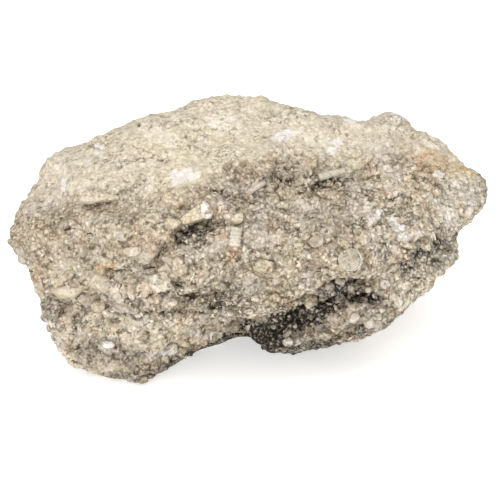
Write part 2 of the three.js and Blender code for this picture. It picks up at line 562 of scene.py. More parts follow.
class Graph:
    """Adds nodes to one material or node group, and joins them up."""

    def __init__(self, tree: Tree) -> None:
        """Keeps the tree to work on."""
        self.tree = tree

    def node(self, kind: str, inputs: dict | None = None, **settings: object) -> bpy.types.Node:
        """A new node.

        Args:
            kind: Blender's name for it.
            inputs: a value or another node's socket for each named or numbered input.
            settings: the node's own properties.

        Returns:
            The node.
        """
        node = self.tree.nodes.new(kind)
        for key, value in settings.items():
            setattr(node, key, value)
        for key, value in (inputs or {}).items():
            self.feed(node.inputs[key], value)
        return node

    def feed(self, socket: Socket, value: Value) -> None:
        """Sets or links one input.

        Args:
            socket: the input.
            value: what it is set to, or the output that it is linked to.
        """
        if isinstance(value, Socket):
            self.tree.links.new(value, socket)
        else:
            socket.default_value = value

    def group(self, tree: Tree, inputs: dict[str, Value]) -> Sockets:
        """The outputs of a node group that is given these inputs."""
        return self.node("ShaderNodeGroup", inputs, node_tree=tree).outputs

    def math(self, operation: str, a: Value, b: Value, clamp: bool = False) -> Socket:
        """Two numbers put through an operation."""
        node = self.node("ShaderNodeMath", {0: a, 1: b}, operation=operation, use_clamp=clamp)
        return node.outputs[0]

    def plus(self, a: Value, b: Value) -> Socket:
        """Two numbers added."""
        return self.math("ADD", a, b)

    def minus(self, a: Value, b: Value) -> Socket:
        """The second number taken from the first."""
        return self.math("SUBTRACT", a, b)

    def times(self, a: Value, b: Value, clamp: bool = False) -> Socket:
        """Two numbers multiplied."""
        return self.math("MULTIPLY", a, b, clamp)

    def remap(
        self, value: Value, low: float, high: float, to_low: float = 0.0, to_high: float = 1.0
    ) -> Socket:
        """A number moved from one range to another, and kept in it."""
        inputs = {0: value, 1: low, 2: high, 3: to_low, 4: to_high}
        return self.node("ShaderNodeMapRange", inputs).outputs[0]

    def mix(self, share: Value, a: Value, b: Value, blend: str = "MIX") -> Socket:
        """Two colours blended."""
        inputs = {0: share, 6: a, 7: b}
        return self.node("ShaderNodeMix", inputs, data_type="RGBA", blend_type=blend).outputs[2]

    def tint(self, share: Value, colour: Value, by: Value) -> Socket:
        """A colour multiplied by another where the share is 1."""
        return self.mix(share, colour, by, "MULTIPLY")

    def ramp(self, value: Value, stops: list[tuple[float, Colour]]) -> Socket:
        """A colour picked along a row of colours.

        Args:
            value: where along the row, 0 to 1.
            stops: the place and the colour of each.

        Returns:
            The colour.
        """
        node = self.node("ShaderNodeValToRGB", {0: value})
        row = node.color_ramp.elements
        while len(row) < len(stops):
            row.new(0.5)
        for element, (place, colour) in zip(row, stops, strict=True):
            element.position = place
            element.color = colour
        return node.outputs[0]

    def noise(self, where: Socket, size: float, detail: float = 2.0, rough: float = 0.5) -> Socket:
        """Smooth noise about one bump to each size, mm."""
        inputs = {"Vector": where, "Scale": 1 / (size * MM), "Detail": detail, "Roughness": rough}
        return self.node("ShaderNodeTexNoise", inputs).outputs[0]

    def shifted(self, where: Socket, shift: tuple[float, float, float]) -> Socket:
        """Places moved by a shift, in metres."""
        node = self.node("ShaderNodeVectorMath", {0: where, 1: shift}, operation="ADD")
        return node.outputs[0]

    def strayed(self, where: Socket, size: float, reach: float) -> Socket:
        """Places moved about by noise.

        Args:
            where: the places.
            size: from one bump of the noise to the next, mm.
            reach: twice as far as a place is moved at most, mm.

        Returns:
            The new places.
        """
        inputs = {"Vector": where, "Scale": 1 / (size * MM), "Detail": 1.0}
        stray = self.node("ShaderNodeTexNoise", inputs)
        inputs = {0: stray.outputs["Color"], 1: (0.5, 0.5, 0.5)}
        away = self.node("ShaderNodeVectorMath", inputs, operation="SUBTRACT")
        inputs = {0: away.outputs[0], 1: (reach * MM,) * 3, 2: where}
        return self.node("ShaderNodeVectorMath", inputs, operation="MULTIPLY_ADD").outputs[0]

    def mark(self, name: str) -> Socket:
        """A number kept with the mesh."""
        return self.node("ShaderNodeAttribute", attribute_name=name).outputs["Fac"]

    def by_mark(self, name: str, at_0: float, at_1: float) -> Socket:
        """A number that goes from one value to another as a mark goes from 0 to 1."""
        return self.remap(self.mark(name), 0.0, 1.0, at_0, at_1)

    def place(self) -> Socket:
        """The point on the object, in metres."""
        return self.node("ShaderNodeTexCoord").outputs["Object"]


class Effects:
    """Node groups that more than one finish uses. Each is built once."""

    WEATHER_AND_SHADE_MARKS = ("Dust_And_Top_Light", "Rust", "Chalk", "Painted_Shade", "Clean")

    def __init__(self) -> None:
        """Builds the groups."""
        self.grain_bed = self._grain_bed()
        self.lump_bed = self._lump_bed()
        self.bedding_tint = self._bedding_tint()
        self.weather_and_shade = self._weather_and_shade()

    @staticmethod
    def _start(
        name: str, inputs: dict[str, str], outputs: dict[str, str]
    ) -> tuple[Graph, Sockets, Sockets]:
        """A new node group.

        Args:
            name: its name.
            inputs: the kind of each named input.
            outputs: the kind of each named output.

        Returns:
            A graph to fill it, what it is given and what it makes.
        """
        tree = bpy.data.node_groups.new(name, "ShaderNodeTree")
        for side, sockets in (("INPUT", inputs), ("OUTPUT", outputs)):
            for socket, kind in sockets.items():
                tree.interface.new_socket(socket, in_out=side, socket_type="NodeSocket" + kind)
        graph = Graph(tree)
        return graph, graph.node("NodeGroupInput").outputs, graph.node("NodeGroupOutput").inputs

    def _grain_bed(self) -> Tree:
        """Packed sand grains: how pale each is, the gaps between them, where shade is painted, and
        their height.

        Returns:
            The node group.
        """
        graph, given, made = self._start(
            "grain_bed",
            {"Place": "Vector", "Grain Size": "Float"},
            {"Tone": "Float", "Gap": "Float", "Height": "Float"},
        )
        where = graph.strayed(given["Place"], 1.1, 0.6)
        rate = graph.math("DIVIDE", 1.0, given["Grain Size"])
        cells = graph.node("ShaderNodeTexVoronoi", {"Vector": where, "Scale": rate}).outputs
        own = graph.node("ShaderNodeSeparateColor", {0: cells["Color"]})
        dome = graph.remap(cells["Distance"], 0.0, 0.8, 1.0, 0.0)
        graph.feed(made["Tone"], own.outputs[0])
        graph.feed(made["Gap"], graph.remap(cells["Distance"], 0.42, 0.78))
        graph.feed(made["Height"], graph.math("POWER", dome, 0.7))
        return graph.tree

    def _lump_bed(self) -> Tree:
        """Packed lumps: how pale each is, the seams that gape in places, where shade is painted, and
        their height.

        Returns:
            The node group.
        """
        graph, given, made = self._start(
            "lump_bed",
            {"Place": "Vector", "Lump Size": "Float"},
            {"Tone": "Float", "Seam": "Float", "Height": "Float"},
        )
        where = graph.strayed(given["Place"], 1.9, 1.7)
        rate = graph.math("DIVIDE", 1.0, given["Lump Size"])
        place = {"Vector": where, "Scale": rate}
        cells = graph.node("ShaderNodeTexVoronoi", place)
        edges = graph.node("ShaderNodeTexVoronoi", place, feature="DISTANCE_TO_EDGE")
        own = graph.node("ShaderNodeSeparateColor", {0: cells.outputs["Color"]})
        gaping = graph.remap(graph.noise(given["Place"], 2.6, 3.0), 0.5, 0.62)
        seam = graph.remap(edges.outputs["Distance"], 0.02, 0.15, 1.0, 0.0)
        graph.feed(made["Tone"], own.outputs[0])
        graph.feed(made["Seam"], graph.times(seam, gaping))
        graph.feed(made["Height"], graph.remap(edges.outputs["Distance"], 0.0, 0.3))
        return graph.tree

    def _bedding_tint(self) -> Tree:
        """Wide patches of yellower, pinker and greyer stone over any colour.

        Returns:
            The node group.
        """
        graph, given, made = self._start(
            "bedding_tint",
            {"Place": "Vector", "Colour": "Color", "Topside": "Float"},
            {"Colour": "Color"},
        )
        where = given["Place"]
        elsewhere = graph.shifted(where, (0.31, 0.17, 0.05))
        further = graph.shifted(where, (0.13, 0.41, 0.23))
        topside = graph.remap(given["Topside"], 0.0, 0.8, 0.22, 1.1)
        yellow = graph.times(graph.remap(graph.noise(where, 13.0, 5.0), 0.46, 0.6, 0.0, 0.65), topside)
        pink = graph.remap(graph.noise(elsewhere, 6.0, 5.0), 0.5, 0.64, 0.0, 0.7)
        grey = graph.remap(graph.noise(elsewhere, 17.0, 6.0), 0.5, 0.64, 0.0, 0.4)
        olive = graph.remap(graph.noise(where, 3.2, 3.0), 0.45, 0.62, 0.0, 0.4)
        bleached = graph.remap(graph.noise(further, 8.0, 5.0), 0.53, 0.65, 0.0, 0.3)
        colour = graph.tint(yellow, given["Colour"], YELLOW_TINT)
        colour = graph.tint(pink, colour, PINK_TINT)
        colour = graph.tint(grey, colour, GREY_TINT)
        colour = graph.tint(olive, colour, OLIVE_TINT)
        graph.feed(made["Colour"], graph.mix(bleached, colour, BLEACHED))
        return graph.tree

    def _weather_and_shade(self) -> Tree:
        """Pale dust and painted top light, specks of painted pore shade, rust, chalky white and painted
        shade in hollows over any colour.

        Returns:
            The node group.
        """
        marks = {mark: "Float" for mark in (*self.WEATHER_AND_SHADE_MARKS, "Sheltered")}
        graph, given, made = self._start(
            "weather_and_shade", {"Colour": "Color", "Place": "Vector", **marks}, {"Colour": "Color"}
        )
        where = given["Place"]
        dust_and_top_light, rust, chalk, painted_shade, clean = (given[mark] for mark in self.WEATHER_AND_SHADE_MARKS)

        # Dark specks: painted shade of tiny pores, in clusters, fewer on clean and dusty places.
        specks = graph.remap(graph.noise(where, 1.2, 1.0, 0.6), 0.45, 0.37)
        clusters = graph.remap(graph.noise(where, 6.0, 4.0, 0.6), 0.46, 0.54, 0.08, 0.5)
        specks = graph.times(specks, clusters)
        specks = graph.times(specks, graph.remap(clean, 0.0, 0.8, 1.0, 0.25))
        specks = graph.times(specks, graph.remap(dust_and_top_light, 0.0, 0.4, 1.25, 1.0))
        uneven = graph.remap(graph.noise(where, 1.1, 3.0), 0.35, 0.6, 0.45, 1.0)
        rust = graph.times(graph.times(rust, uneven), 0.55)
        frayed = graph.plus(graph.times(chalk, 0.3), graph.noise(where, 1.5, 5.0, 0.75))
        chalk = graph.times(chalk, graph.remap(frayed, 0.52, 0.78))
        # Painted shade, deeper where a place lies down between grains, tinted near black.
        patchy = graph.remap(graph.noise(where, 0.8, 2.0), 0.4, 0.6, 0.7, 0.2)
        patchy = graph.plus(patchy, given["Sheltered"])
        hollow = graph.times(painted_shade, patchy, clamp=True)

        # Pale dust, which also paints top light.
        colour = graph.mix(graph.times(dust_and_top_light, 0.4), given["Colour"], DUST_AND_TOP_LIGHT)
        colour = graph.mix(specks, colour, CREVICE_SHADE)
        colour = graph.tint(rust, colour, RUST_TINT)
        colour = graph.mix(graph.times(chalk, 0.85), colour, CHALK_WHITE)
        # The deepest painted shade is also tinted cooler.
        colour = graph.tint(graph.remap(painted_shade, 0.55, 0.9), colour, SHADE_COOL_TINT)
        graph.feed(made["Colour"], graph.tint(hollow, colour, PAINTED_SHADE_TINT))
        return graph.tree


@dataclass
class Look:
    """What a surface shows so far, while its nodes are laid one after another.

    Attributes:
        finish: the finish that is built.
        graph: lays the nodes.
        effects: the shared node groups.
        where: the place on the object.
        tone: how pale it is, 0 to 1.
        height: its relief.
        sheltered: how far down between grains it is, 0 to 1.
        gaps: how much the gap colour covers it, the matrix's colour with painted shade, 0 to 1.
        crack_shade: how much painted shade covers it in cracks and seams, 0 to 1.
        colour: its colour.
    """

    finish: "Finish"
    graph: Graph
    effects: Effects
    where: Socket
    tone: Socket
    height: Socket
    sheltered: Socket
    gaps: Value = 0.0
    crack_shade: Value = 0.0
    colour: Value = CREVICE_SHADE

    def cover(self, share: Value, colour: Value) -> None:
        """Lays another colour over it."""
        self.colour = self.graph.mix(share, self.colour, colour)

    def add_grain(self) -> None:
        """Adds grains that are too fine to model, weaker where the stone is calm or rugged."""
        graph, finish = self.graph, self.finish
        given = {"Place": self.where, "Grain Size": finish.grain * MM}
        bed = graph.group(self.effects.grain_bed, given)
        less_rugged = graph.by_mark("rugged", 1.0, 0.55)
        share = graph.times(graph.by_mark("calm", 1.0, 0.8), less_rugged)
        own = graph.times(graph.minus(bed["Tone"], 0.5), 0.48)
        own = graph.times(graph.times(own, graph.by_mark("calm", 1.0, 1.3)), less_rugged)
        blotch = graph.minus(graph.noise(self.where, 1.6, 4.0, 0.6), 0.5)
        blotch = graph.times(blotch, graph.by_mark("calm", 0.3, 1.3))
        wide = graph.times(self.tone, graph.by_mark("calm", 0.42, 0.34))
        tone = graph.plus(graph.plus(wide, own), blotch)
        self.tone = graph.plus(tone, graph.by_mark("calm", 0.22, 0.24))
        self.gaps = graph.times(graph.times(bed["Gap"], finish.grain_share), share)
        self.sheltered = graph.minus(1.0, bed["Height"])
        self.height = graph.plus(graph.times(bed["Height"], share), graph.times(self.height, 0.6))

    def add_lumps(self) -> None:
        """Adds lumps and their seams where the stone is rough, and cracks along its splits, with shade
        painted in the seams and cracks.
        """
        graph, finish = self.graph, self.finish
        given = {"Place": self.where, "Lump Size": finish.lumps * MM}
        bed = graph.group(self.effects.lump_bed, given)
        rough = graph.by_mark("calm", 1.0, 0.08)
        paler = graph.times(graph.minus(bed["Tone"], 0.4), graph.by_mark("rugged", 0.3, 0.32))
        self.tone = graph.plus(self.tone, graph.times(paler, rough))
        seam = graph.times(graph.times(bed["Seam"], 0.8), rough)
        uneven = graph.noise(self.where, 1.4, 3.0)
        wobble = graph.times(graph.minus(uneven, 0.5), 0.8)
        away = graph.math("ABSOLUTE", graph.plus(graph.mark("rift"), wobble), 0.0)
        width = graph.remap(uneven, 0.38, 0.62, -0.2, 0.45)
        crack = graph.remap(graph.minus(width, away), -0.12, 0.12)
        crack = graph.times(crack, graph.mark("rift_open"))
        # Painted shade in the cracks and the gaping seams.
        self.crack_shade = graph.math("MAXIMUM", crack, graph.remap(seam, 0.4, 0.75, 0.0, 0.6))
        self.gaps = graph.math("MAXIMUM", self.gaps, seam)
        raised = graph.times(graph.times(bed["Height"], 1.5), rough)
        self.height = graph.plus(self.height, graph.minus(raised, graph.times(crack, 1.5)))

    def add_crust(self) -> None:
        """Adds sand that sticks on in places."""
        graph, finish = self.graph, self.finish
        given = {"Place": self.where, "Grain Size": STUCK_SAND_SIZE * MM}
        bed = graph.group(self.effects.grain_bed, given)
        dark, pale = STUCK_SAND
        sand = graph.ramp(bed["Tone"], [(0.0, dark), (1.0, pale)])
        # Painted shade between the stuck grains.
        sand = graph.mix(graph.times(bed["Gap"], 0.7), sand, shown(*finish.gap))
        low = 0.72 - 0.4 * finish.crust
        stuck = graph.remap(graph.noise(self.where, 1.7, 4.0, 0.6), low, low + 0.06)
        stuck = graph.times(stuck, graph.minus(1.0, graph.mark("clean")))
        raised = graph.times(graph.plus(bed["Height"], 0.5), stuck)
        self.height = graph.plus(self.height, raised)
        self.cover(graph.times(stuck, 0.9), sand)

    def add_weather_and_shade(self) -> None:
        """Adds the tints of the beds, the weather, the painted shade and the painted top light."""
        graph, effects = self.graph, self.effects
        given = {"Place": self.where, "Colour": self.colour, "Topside": graph.mark("dust_and_top_light")}
        tinted = graph.group(effects.bedding_tint, given)["Colour"]
        marks = {name: graph.mark(name.lower()) for name in effects.WEATHER_AND_SHADE_MARKS}
        given = {"Colour": tinted, "Place": self.where, "Sheltered": self.sheltered, **marks}
        self.colour = graph.group(effects.weather_and_shade, given)["Colour"]


@dataclass(frozen=True)
class Finish:
    """One kind of surface in the lump.

    Attributes:
        name: the material's name.
        tones: colours from the darkest to the palest, as they are on a screen.
        gap: the colour between grains, darker than the matrix to paint the shade there as well.
        grain: size of the grains that are too fine to model, mm. 0 for none.
        grain_share: how strongly those grains show.
        lumps: size of the lumps where the stone is rough, mm. 0 for none.
        speckle: how strongly the colour varies inside a grain.
        bump: height of the relief, mm.
        roughness: how dull it is.
        base_shade: how much shade is painted on the buried side of a piece, 0 to 1.
        crust: how much of it sand still sticks to, 0 to 1.
    """

    name: str
    tones: tuple[tuple[int, int, int], ...]
    gap: tuple[int, int, int] = (102, 87, 63)
    grain: float = 0.0
    grain_share: float = 0.6
    lumps: float = 0.0
    speckle: float = 0.9
    bump: float = 0.25
    roughness: float = 0.88
    base_shade: float = 0.0
    crust: float = 0.0

    def material(self, effects: Effects) -> bpy.types.Material:
        """Builds the material.

        Args:
            effects: the shared node groups.

        Returns:
            The material.
        """
        material = bpy.data.materials.new(self.name)
        material.use_nodes = True
        material.node_tree.nodes.clear()
        graph = Graph(material.node_tree)
        where = graph.place()
        speckle = graph.noise(where, 0.45, 3.0, 0.65)
        spread = graph.times(graph.minus(speckle, 0.5), self.speckle)
        sheltered = graph.remap(graph.mark("rise"), 0.3, 0.9, 1.0, 0.0)
        look = Look(self, graph, effects, where, graph.mark("tone"), speckle, sheltered)
        if self.grain:
            look.add_grain()
        if self.lumps:
            look.add_lumps()
            spread = graph.times(spread, graph.by_mark("calm", 0.55, 1.7))
        stops = zip(np.linspace(0, 1, len(self.tones)), self.tones, strict=True)
        row = [(float(stop), shown(*tone)) for stop, tone in stops]
        look.colour = graph.ramp(graph.plus(look.tone, spread), row)
        if self.grain:
            # The matrix colour with painted shade in the gaps between grains.
            look.cover(look.gaps, shown(*self.gap))
        if self.lumps:
            # Painted shade in cracks and seams.
            look.cover(look.crack_shade, CREVICE_SHADE)
        if self.base_shade:
            # Painted shade on the buried side of a piece.
            buried = graph.remap(graph.mark("rise"), 0.35, 0.82, self.base_shade, 0.0)
            look.cover(buried, shown(*self.gap))
        if self.crust:
            look.add_crust()
        look.add_weather_and_shade()
        bump = {"Strength": 0.9, "Distance": self.bump * MM, "Height": look.height}
        surface = {
            "Base Color": look.colour,
            "Roughness": graph.remap(speckle, 0.3, 0.7, self.roughness - 0.08, self.roughness + 0.06),
            "Normal": graph.node("ShaderNodeBump", bump).outputs[0],
            "Specular IOR Level": 0.28,
        }
        shader = graph.node("ShaderNodeBsdfPrincipled", surface)
        graph.node("ShaderNodeOutputMaterial", {"Surface": shader.outputs[0]})
        return material


BODY_STONE = Finish(
    "bedded_stone",
    ((122, 109, 91), (177, 163, 142), (203, 190, 170), (229, 219, 201)),
    grain=0.95, grain_share=0.5, lumps=3.2, bump=0.34,
)
SAND_GRAIN = Finish(
    "sand_grain",
    ((132, 119, 101), (181, 168, 147), (202, 190, 169), (214, 203, 184), (228, 219, 203)),
    speckle=0.35, bump=0.1, base_shade=0.36,
)
CRUSTED_LUMP = Finish(
    "crusted_lump",
    ((136, 121, 99), (178, 164, 140), (204, 191, 168), (232, 223, 206)),
    bump=0.22, base_shade=0.55, crust=0.75,
)
SEA_LILY = Finish(
    "sea_lily_stone",
    ((150, 138, 120), (192, 183, 166), (224, 217, 203)),
    speckle=1.3, bump=0.26, roughness=0.84, base_shade=0.7, crust=0.55,
)
SHELL = Finish(
    "shell_stone",
    ((150, 136, 115), (192, 178, 155), (226, 214, 193)),
    bump=0.18, roughness=0.8, base_shade=0.6, crust=0.62,
)
BLOCK_STONE = Finish(
    "broken_block",
    ((140, 126, 105), (188, 173, 150), (208, 195, 172), (230, 219, 199)),
    grain=0.85, grain_share=0.35, bump=0.3, base_shade=0.7, crust=0.3,
)
CHALK = Finish(
    "chalky_chip",
    ((192, 182, 166), (216, 208, 196), (232, 227, 220)),
    bump=0.16, roughness=0.92, base_shade=0.4, crust=0.5,
)


# ---- the stone's body


@dataclass(frozen=True)
class Bumps:
    """One kind of bumps all over the stone.

    Attributes:
        size: from one to the next, mm.
        height: how far they stand out, mm. It is under 0 for pits.
    """

    size: float
    height: float


@dataclass(frozen=True)
class Ledge:
    """The broken edge of a bed on the front, with a split under it that holds painted shade.

    Attributes:
        line: its run, from left to right.
        step: how far the bed above stands out from the one below, mm.
        split: half the height of the split under it, mm.
        depth: how deep the split is, mm.
        whole: how unbroken the split is, 0 to 1.
        crack_shade: how much shade is painted in the split, 0 to 1.
        fade: over what height the step is evened out, mm.
    """

    line: Line
    step: float
    split: float
    depth: float
    whole: float = 0.2
    crack_shade: float = 0.7
    fade: float = 5.0

    def cut(self, places: Array, pinched: Array, crumbled: Array) -> tuple[Array, ...]:
        """The ledge's effect on each place.

        Args:
            places: across and up of each place.
            pinched: noise about 1 that widens and narrows the split.
            crumbled: 0 where the split has crumbled away, 1 where it is open.

        Returns:
            How far each place is raised, mm, how much it is in the split and on the lip above
            it, how far above the line it is, mm, and how open the split is there.
        """
        away, above = from_line(places, self.line)
        past_end = np.exp(-((np.maximum(away - np.abs(above), 0) / 1.5) ** 2))
        split = smoothstep(1.6, 0.3, away / (self.split * pinched))
        kept = self.whole + (1 - self.whole) * crumbled
        split *= kept
        upper = smoothstep(0.0, 0.7, above) * np.exp(-np.maximum(above, 0) / self.fade)
        lower = smoothstep(0.2, -0.5, above) * np.exp(np.minimum(above, 0) / self.fade)
        raised = self.step * past_end * (0.6 * upper - 0.4 * lower)
        lip = smoothstep(0.1, 0.5, above) * smoothstep(1.9, 0.8, above) * past_end * kept
        open_here = smoothstep(0.9, 0.1, away - np.abs(above)) * kept
        return raised - self.depth * split, split, lip, np.copysign(away, above), open_here


@dataclass(frozen=True)
class Swell:
    """A place on the outline that bulges out or is drawn in.

    Attributes:
        across: its middle.
        up: its middle.
        size: how wide it is, mm.
        height: how far it bulges, mm.
    """

    across: float
    up: float
    size: float
    height: float


@dataclass(frozen=True)
class Patch:
    """An oval place on the front, for a hole or a stain.

    Attributes:
        across: its middle.
        up: its middle.
        wide: its whole width, mm.
        tall: its whole height, mm.
        lean_deg: how far its right end is raised.
        strength: how much its middle belongs to it, 0 to 1.
    """

    across: float
    up: float
    wide: float
    tall: float
    lean_deg: float = 0.0
    strength: float = 1.0

    def share(self, places: Array, ragged: Array) -> Array:
        """How much each place belongs to it.

        Args:
            places: across and up of each place.
            ragged: noise that frays its edge.

        Returns:
            The strength inside, 0 outside.
        """
        lean = math.radians(self.lean_deg)
        away = places - (self.across, self.up)
        along = away @ (math.cos(lean), math.sin(lean)) / (self.wide / 2)
        over = away @ (-math.sin(lean), math.cos(lean)) / (self.tall / 2)
        return self.strength * smoothstep(1.25, 0.75, np.hypot(along, over) + ragged)


Patches = tuple[Patch, ...]


@dataclass
class StoneBody:
    """The body of the lump: the frame's solid, refined and roughened.

    A whole number added to the points before noise is taken only makes it another noise.

    Attributes:
        viewer: where the front is seen from.
        noise: the noise that roughens it.
        mesh_size: distance between corners, mm.
        ironing: rounds of smoothing that take the solid's facets away.
        bed_lean_deg: how far the beds rise to the right.
        foot: how far up from the foot the roughness grows to its full height, mm.
        hole_depth: how deep the holes are, mm.
        beds: steps from bed to bed.
        lumps: the widest bumps.
        crumbs: the ridges between them.
        grains: the biggest grains.
        pits: the hollows between grains.
        chunks: flat lumps that break apart at seams, the bigger ones first.
        ledges: the broken edges of beds.
        scarp: the lower edge of the smooth upper bed.
        pale: where the stone is paler.
        big_lumps: where it breaks into the biggest lumps.
        fine_beds: where its sand is finest.
        painted_shade_patches: where shade is painted on the front.
        swells: where its outline bulges or is drawn in.
        holes: where bits have fallen out.
        chalk: where it is white.
        rust: where it is rusty.
        base: corners of the smooth surface, mm.
        normals: the way out of it at each.
        faces: corner numbers, one row for each face.
        places: across and up of each corner.
        facing: how much each faces the viewer, 0 to 1.
        ragged: noise that frays the edges of patches.
        calm: how smooth and fine-grained each is, 0 to 1.
        rugged: how lumpy each is, 0 to 1.
        points: corners of the finished surface, mm.
        marks: named numbers for the finish.
    """

    viewer: Viewer
    noise: Noise
    mesh_size: float = 0.64
    ironing: int = 24
    bed_lean_deg: float = 12.0
    foot: float = 2.5
    hole_depth: float = 1.4
    beds: Bumps = Bumps(3.4, 0.6)
    lumps: Bumps = Bumps(11.0, 1.0)
    crumbs: Bumps = Bumps(4.2, 0.65)
    grains: Bumps = Bumps(2.0, 0.45)
    pits: Bumps = Bumps(3.2, -1.1)
    chunks: tuple[Bumps, ...] = (Bumps(5.6, 1.5), Bumps(3.0, 0.65))
    ledges: tuple[Ledge, ...] = table(
        Ledge,
        (((-45, 8.8), (-43, 8.2), (-40.5, 8.4), (-36.8, 9.3)), 2.2, 0.3, 0.7, 0.5),
        (((-36.8, 9.3), (-34.2, 11.4), (-31.5, 12.4), (-28.4, 15.1)), 1.2, 0.25, 0.5, 0.6),
        (((-22, 8.3), (-17, 6.6), (-13.5, 5.6), (-9, 3.4)), 2, 0.4, 1, 0.2, 0.5),
        (((-10.5, 11.8), (-5.5, 11), (-1, 10.2)), 1.6, 0.5, 0.9, 0.2, 0.6),
        (((4.5, 14.2), (9, 15.8), (16, 15.6)), 1.8, 0.55, 1.2, 0.2, 0.6),
        (((17, 13.4), (22, 14.2), (27, 15.6)), 2, 0.45, 1.2, 0.6),
        (((27, 15.6), (31, 17.2), (34.2, 19)), 1.4, 0.3, 0.8, 0.2, 0.45),
        (((-27.6, -9.4), (-24.6, -5), (-22.2, -2.8), (-20.4, -0.8)), 1.4, 0.45, 1.3, 0.2, 0.6),
        (((-20.6, -0.6), (-19.2, 1.4), (-16.4, 1.4), (-12.8, 2.2), (-10.6, 4.2)), 1.6, 0.6, 1.4),
        (((-39, -8.4), (-35, -9.2), (-31.5, -9.9)), 1, 0.35, 0.9),
        (((-46, -15.6), (-38, -16.4), (-30, -16.6), (-22, -15.4)), 1.3, 0.3, 0.7),
        (((-20, -15.6), (-13, -15.9), (-6, -15)), 1, 0.35, 0.9, 0.3),
        (((-20.3, -19.9), (-14.6, -20.6), (-8.4, -20.6)), 1.1, 0.55, 1.3, 0.85, 0.85),
        (((-28.4, -20.8), (-25.4, -21.2), (-22.5, -20.6)), 1, 0.4, 1.1, 0.7),
        (((-27.4, -23.4), (-23.5, -23)), 0.8, 0.35, 0.9, 0.6),
        (((-26.2, -30.2), (-23.4, -29)), 0.8, 0.5, 1.2, 0.7),
        (((-17.8, -16.3), (-15, -17.2), (-12, -17.6)), 1, 0.5, 1.2, 0.8),
        (((-9, -17.8), (-6.4, -18.2), (-3.9, -19.2)), 1, 0.5, 1.2, 0.8),
        (((-37.5, -20.6), (-34.5, -21.2), (-31.5, -21.4)), 1, 0.4, 1.2, 0.6),
        (((-36.5, -20.6), (-33, -21.6), (-29.5, -22.6)), 0.8, 0.3, 1, 0.3),
        (((-55.5, -17.6), (-51, -18.9), (-47.2, -17.9)), 1.2, 0.5, 1.8, 0.7),
        (((9.4, 2.7), (11, 2), (13, 1.5)), 0.5, 0.35, 1),
        (((-46, 25), (-34, 20), (-24, 20.5)), 0.8, 0.15, 0.4),
        (((-50, 2), (-42, 0), (-34, -1.5)), 0.9, 0.2, 0.5),
        (((28, 8), (38, 9.5), (47, 13)), 0.9, 0.12, 0.3, 0, 0.3),
        (((-3, -28.4), (2, -27), (7, -25.8), (12, -24.4)), 1.5, 3.2, 4.5, 1, 0.92, 4),
        (((8, -22.9), (14, -20.6), (20, -18.4)), 1.6, 1.9, 4, 1, 0.92, 4),
        (((20, -18.4), (25, -15.8), (30, -16), (34, -17.6)), 1.6, 1.2, 3.4, 1, 0.9, 4),
        (((52.5, 13.6), (55, 12.6), (58, 12)), 0.6, 0.5, 1.2),
        (((-34, -33.5), (-26, -33), (-16, -29.6)), 1, 0.8, 1, 0.2, 0.5, 3),
    )
    scarp: Line = (
        (-66, 6), (-46, 9), (-22, 10), (-8, 14), (7, 19), (27, 18), (36, 22), (52, 18), (66, 12)
    )
    pale: Patches = table(
        Patch,
        (-36, -22, 44, 28, 0, 0.45), (44, -4, 34, 34, 20, 0.38), (58, 10, 18, 18, 0, 0.55),
        (6, -6, 44, 26, 0, 0.06), (41, 15, 28, 10, 0, 0.25), (0, 36, 80, 16, 0, 0.15),
        (46, -16, 12, 12, 0, 0.35),
    )
    big_lumps: Patches = table(
        Patch,
        (-36, -23, 50, 38), (26, -24, 36, 14, 14),
    )
    fine_beds: Patches = table(
        Patch,
        (-41, 2, 44, 22, 6, 0.8), (-20, 6, 20, 10, 20, 0.6), (57, 12, 18, 14, 0, 0.15),
    )
    # Patches of painted shade: under the scarp and the ledges, below fossils, in the undercut and along
    # the foot.
    painted_shade_patches: Patches = table(
        Patch,
        (-2.9, 10.2, 8, 6, 20, 0.35), (6.7, 16.2, 14, 4.5, 12, 0.28), (19.5, 14.3, 9, 2.5, 10, 0.5),
        (-16.4, 0.2, 14, 6, 22, 0.7), (3, 4.2, 11, 9, 20, 0.22), (-62.5, -6, 10, 16, 0, 0.22),
        (-23.8, -4.6, 4, 7, -10, 0.55), (-36, 5.5, 14, 3, 0, 0.25), (-19.4, -12.9, 4, 3.4, 0, 0.5),
        (-8, -17.6, 16, 3, 0, 0.35), (-8.3, -17.2, 11, 10, 0, 0.6), (-19, -17.5, 10, 9, 0, 0.3),
        (-3, -6.5, 20, 9, 0, 0.25), (3.6, -27.4, 16, 10.5, 12, 1), (16.7, -20.9, 19, 6, 20, 0.95),
        (29, -16, 13, 5, -12, 0.85), (18, -17, 22, 4.4, 12, 0.5), (26, -24.6, 30, 7, 14, 0.42),
        (-13.7, -32.3, 24, 4.4, 22, 0.8), (-30, -37.6, 24, 5, 8, 0.5), (-38, -31.5, 20, 8, -10, 0.4),
        (-53.5, -19.5, 9, 8, 0, 0.35), (-52, 4.5, 10, 9, 0, 0.2), (16, -30, 22, 2.8, 8, 0.7),
        (29.8, -25.1, 3.2, 1.6, 30, 0.75), (28.7, -26.8, 6, 1.5, 15, 0.65),
        (23.8, -19.4, 5, 2.6, 10, 0.65), (23.6, -27.8, 5, 1.6, 10, 0.6), (47, -6, 15, 10, 20, 0.5),
        (51, -1.6, 4, 4, 0, 0.8), (46.2, -4.8, 5, 3, 30, 0.8), (42.4, -8, 6, 2.6, 30, 0.75),
        (19.6, 14.4, 6, 1.8, 20, 0.85), (-4, -18, 26, 12, 10, 0.36),
    )
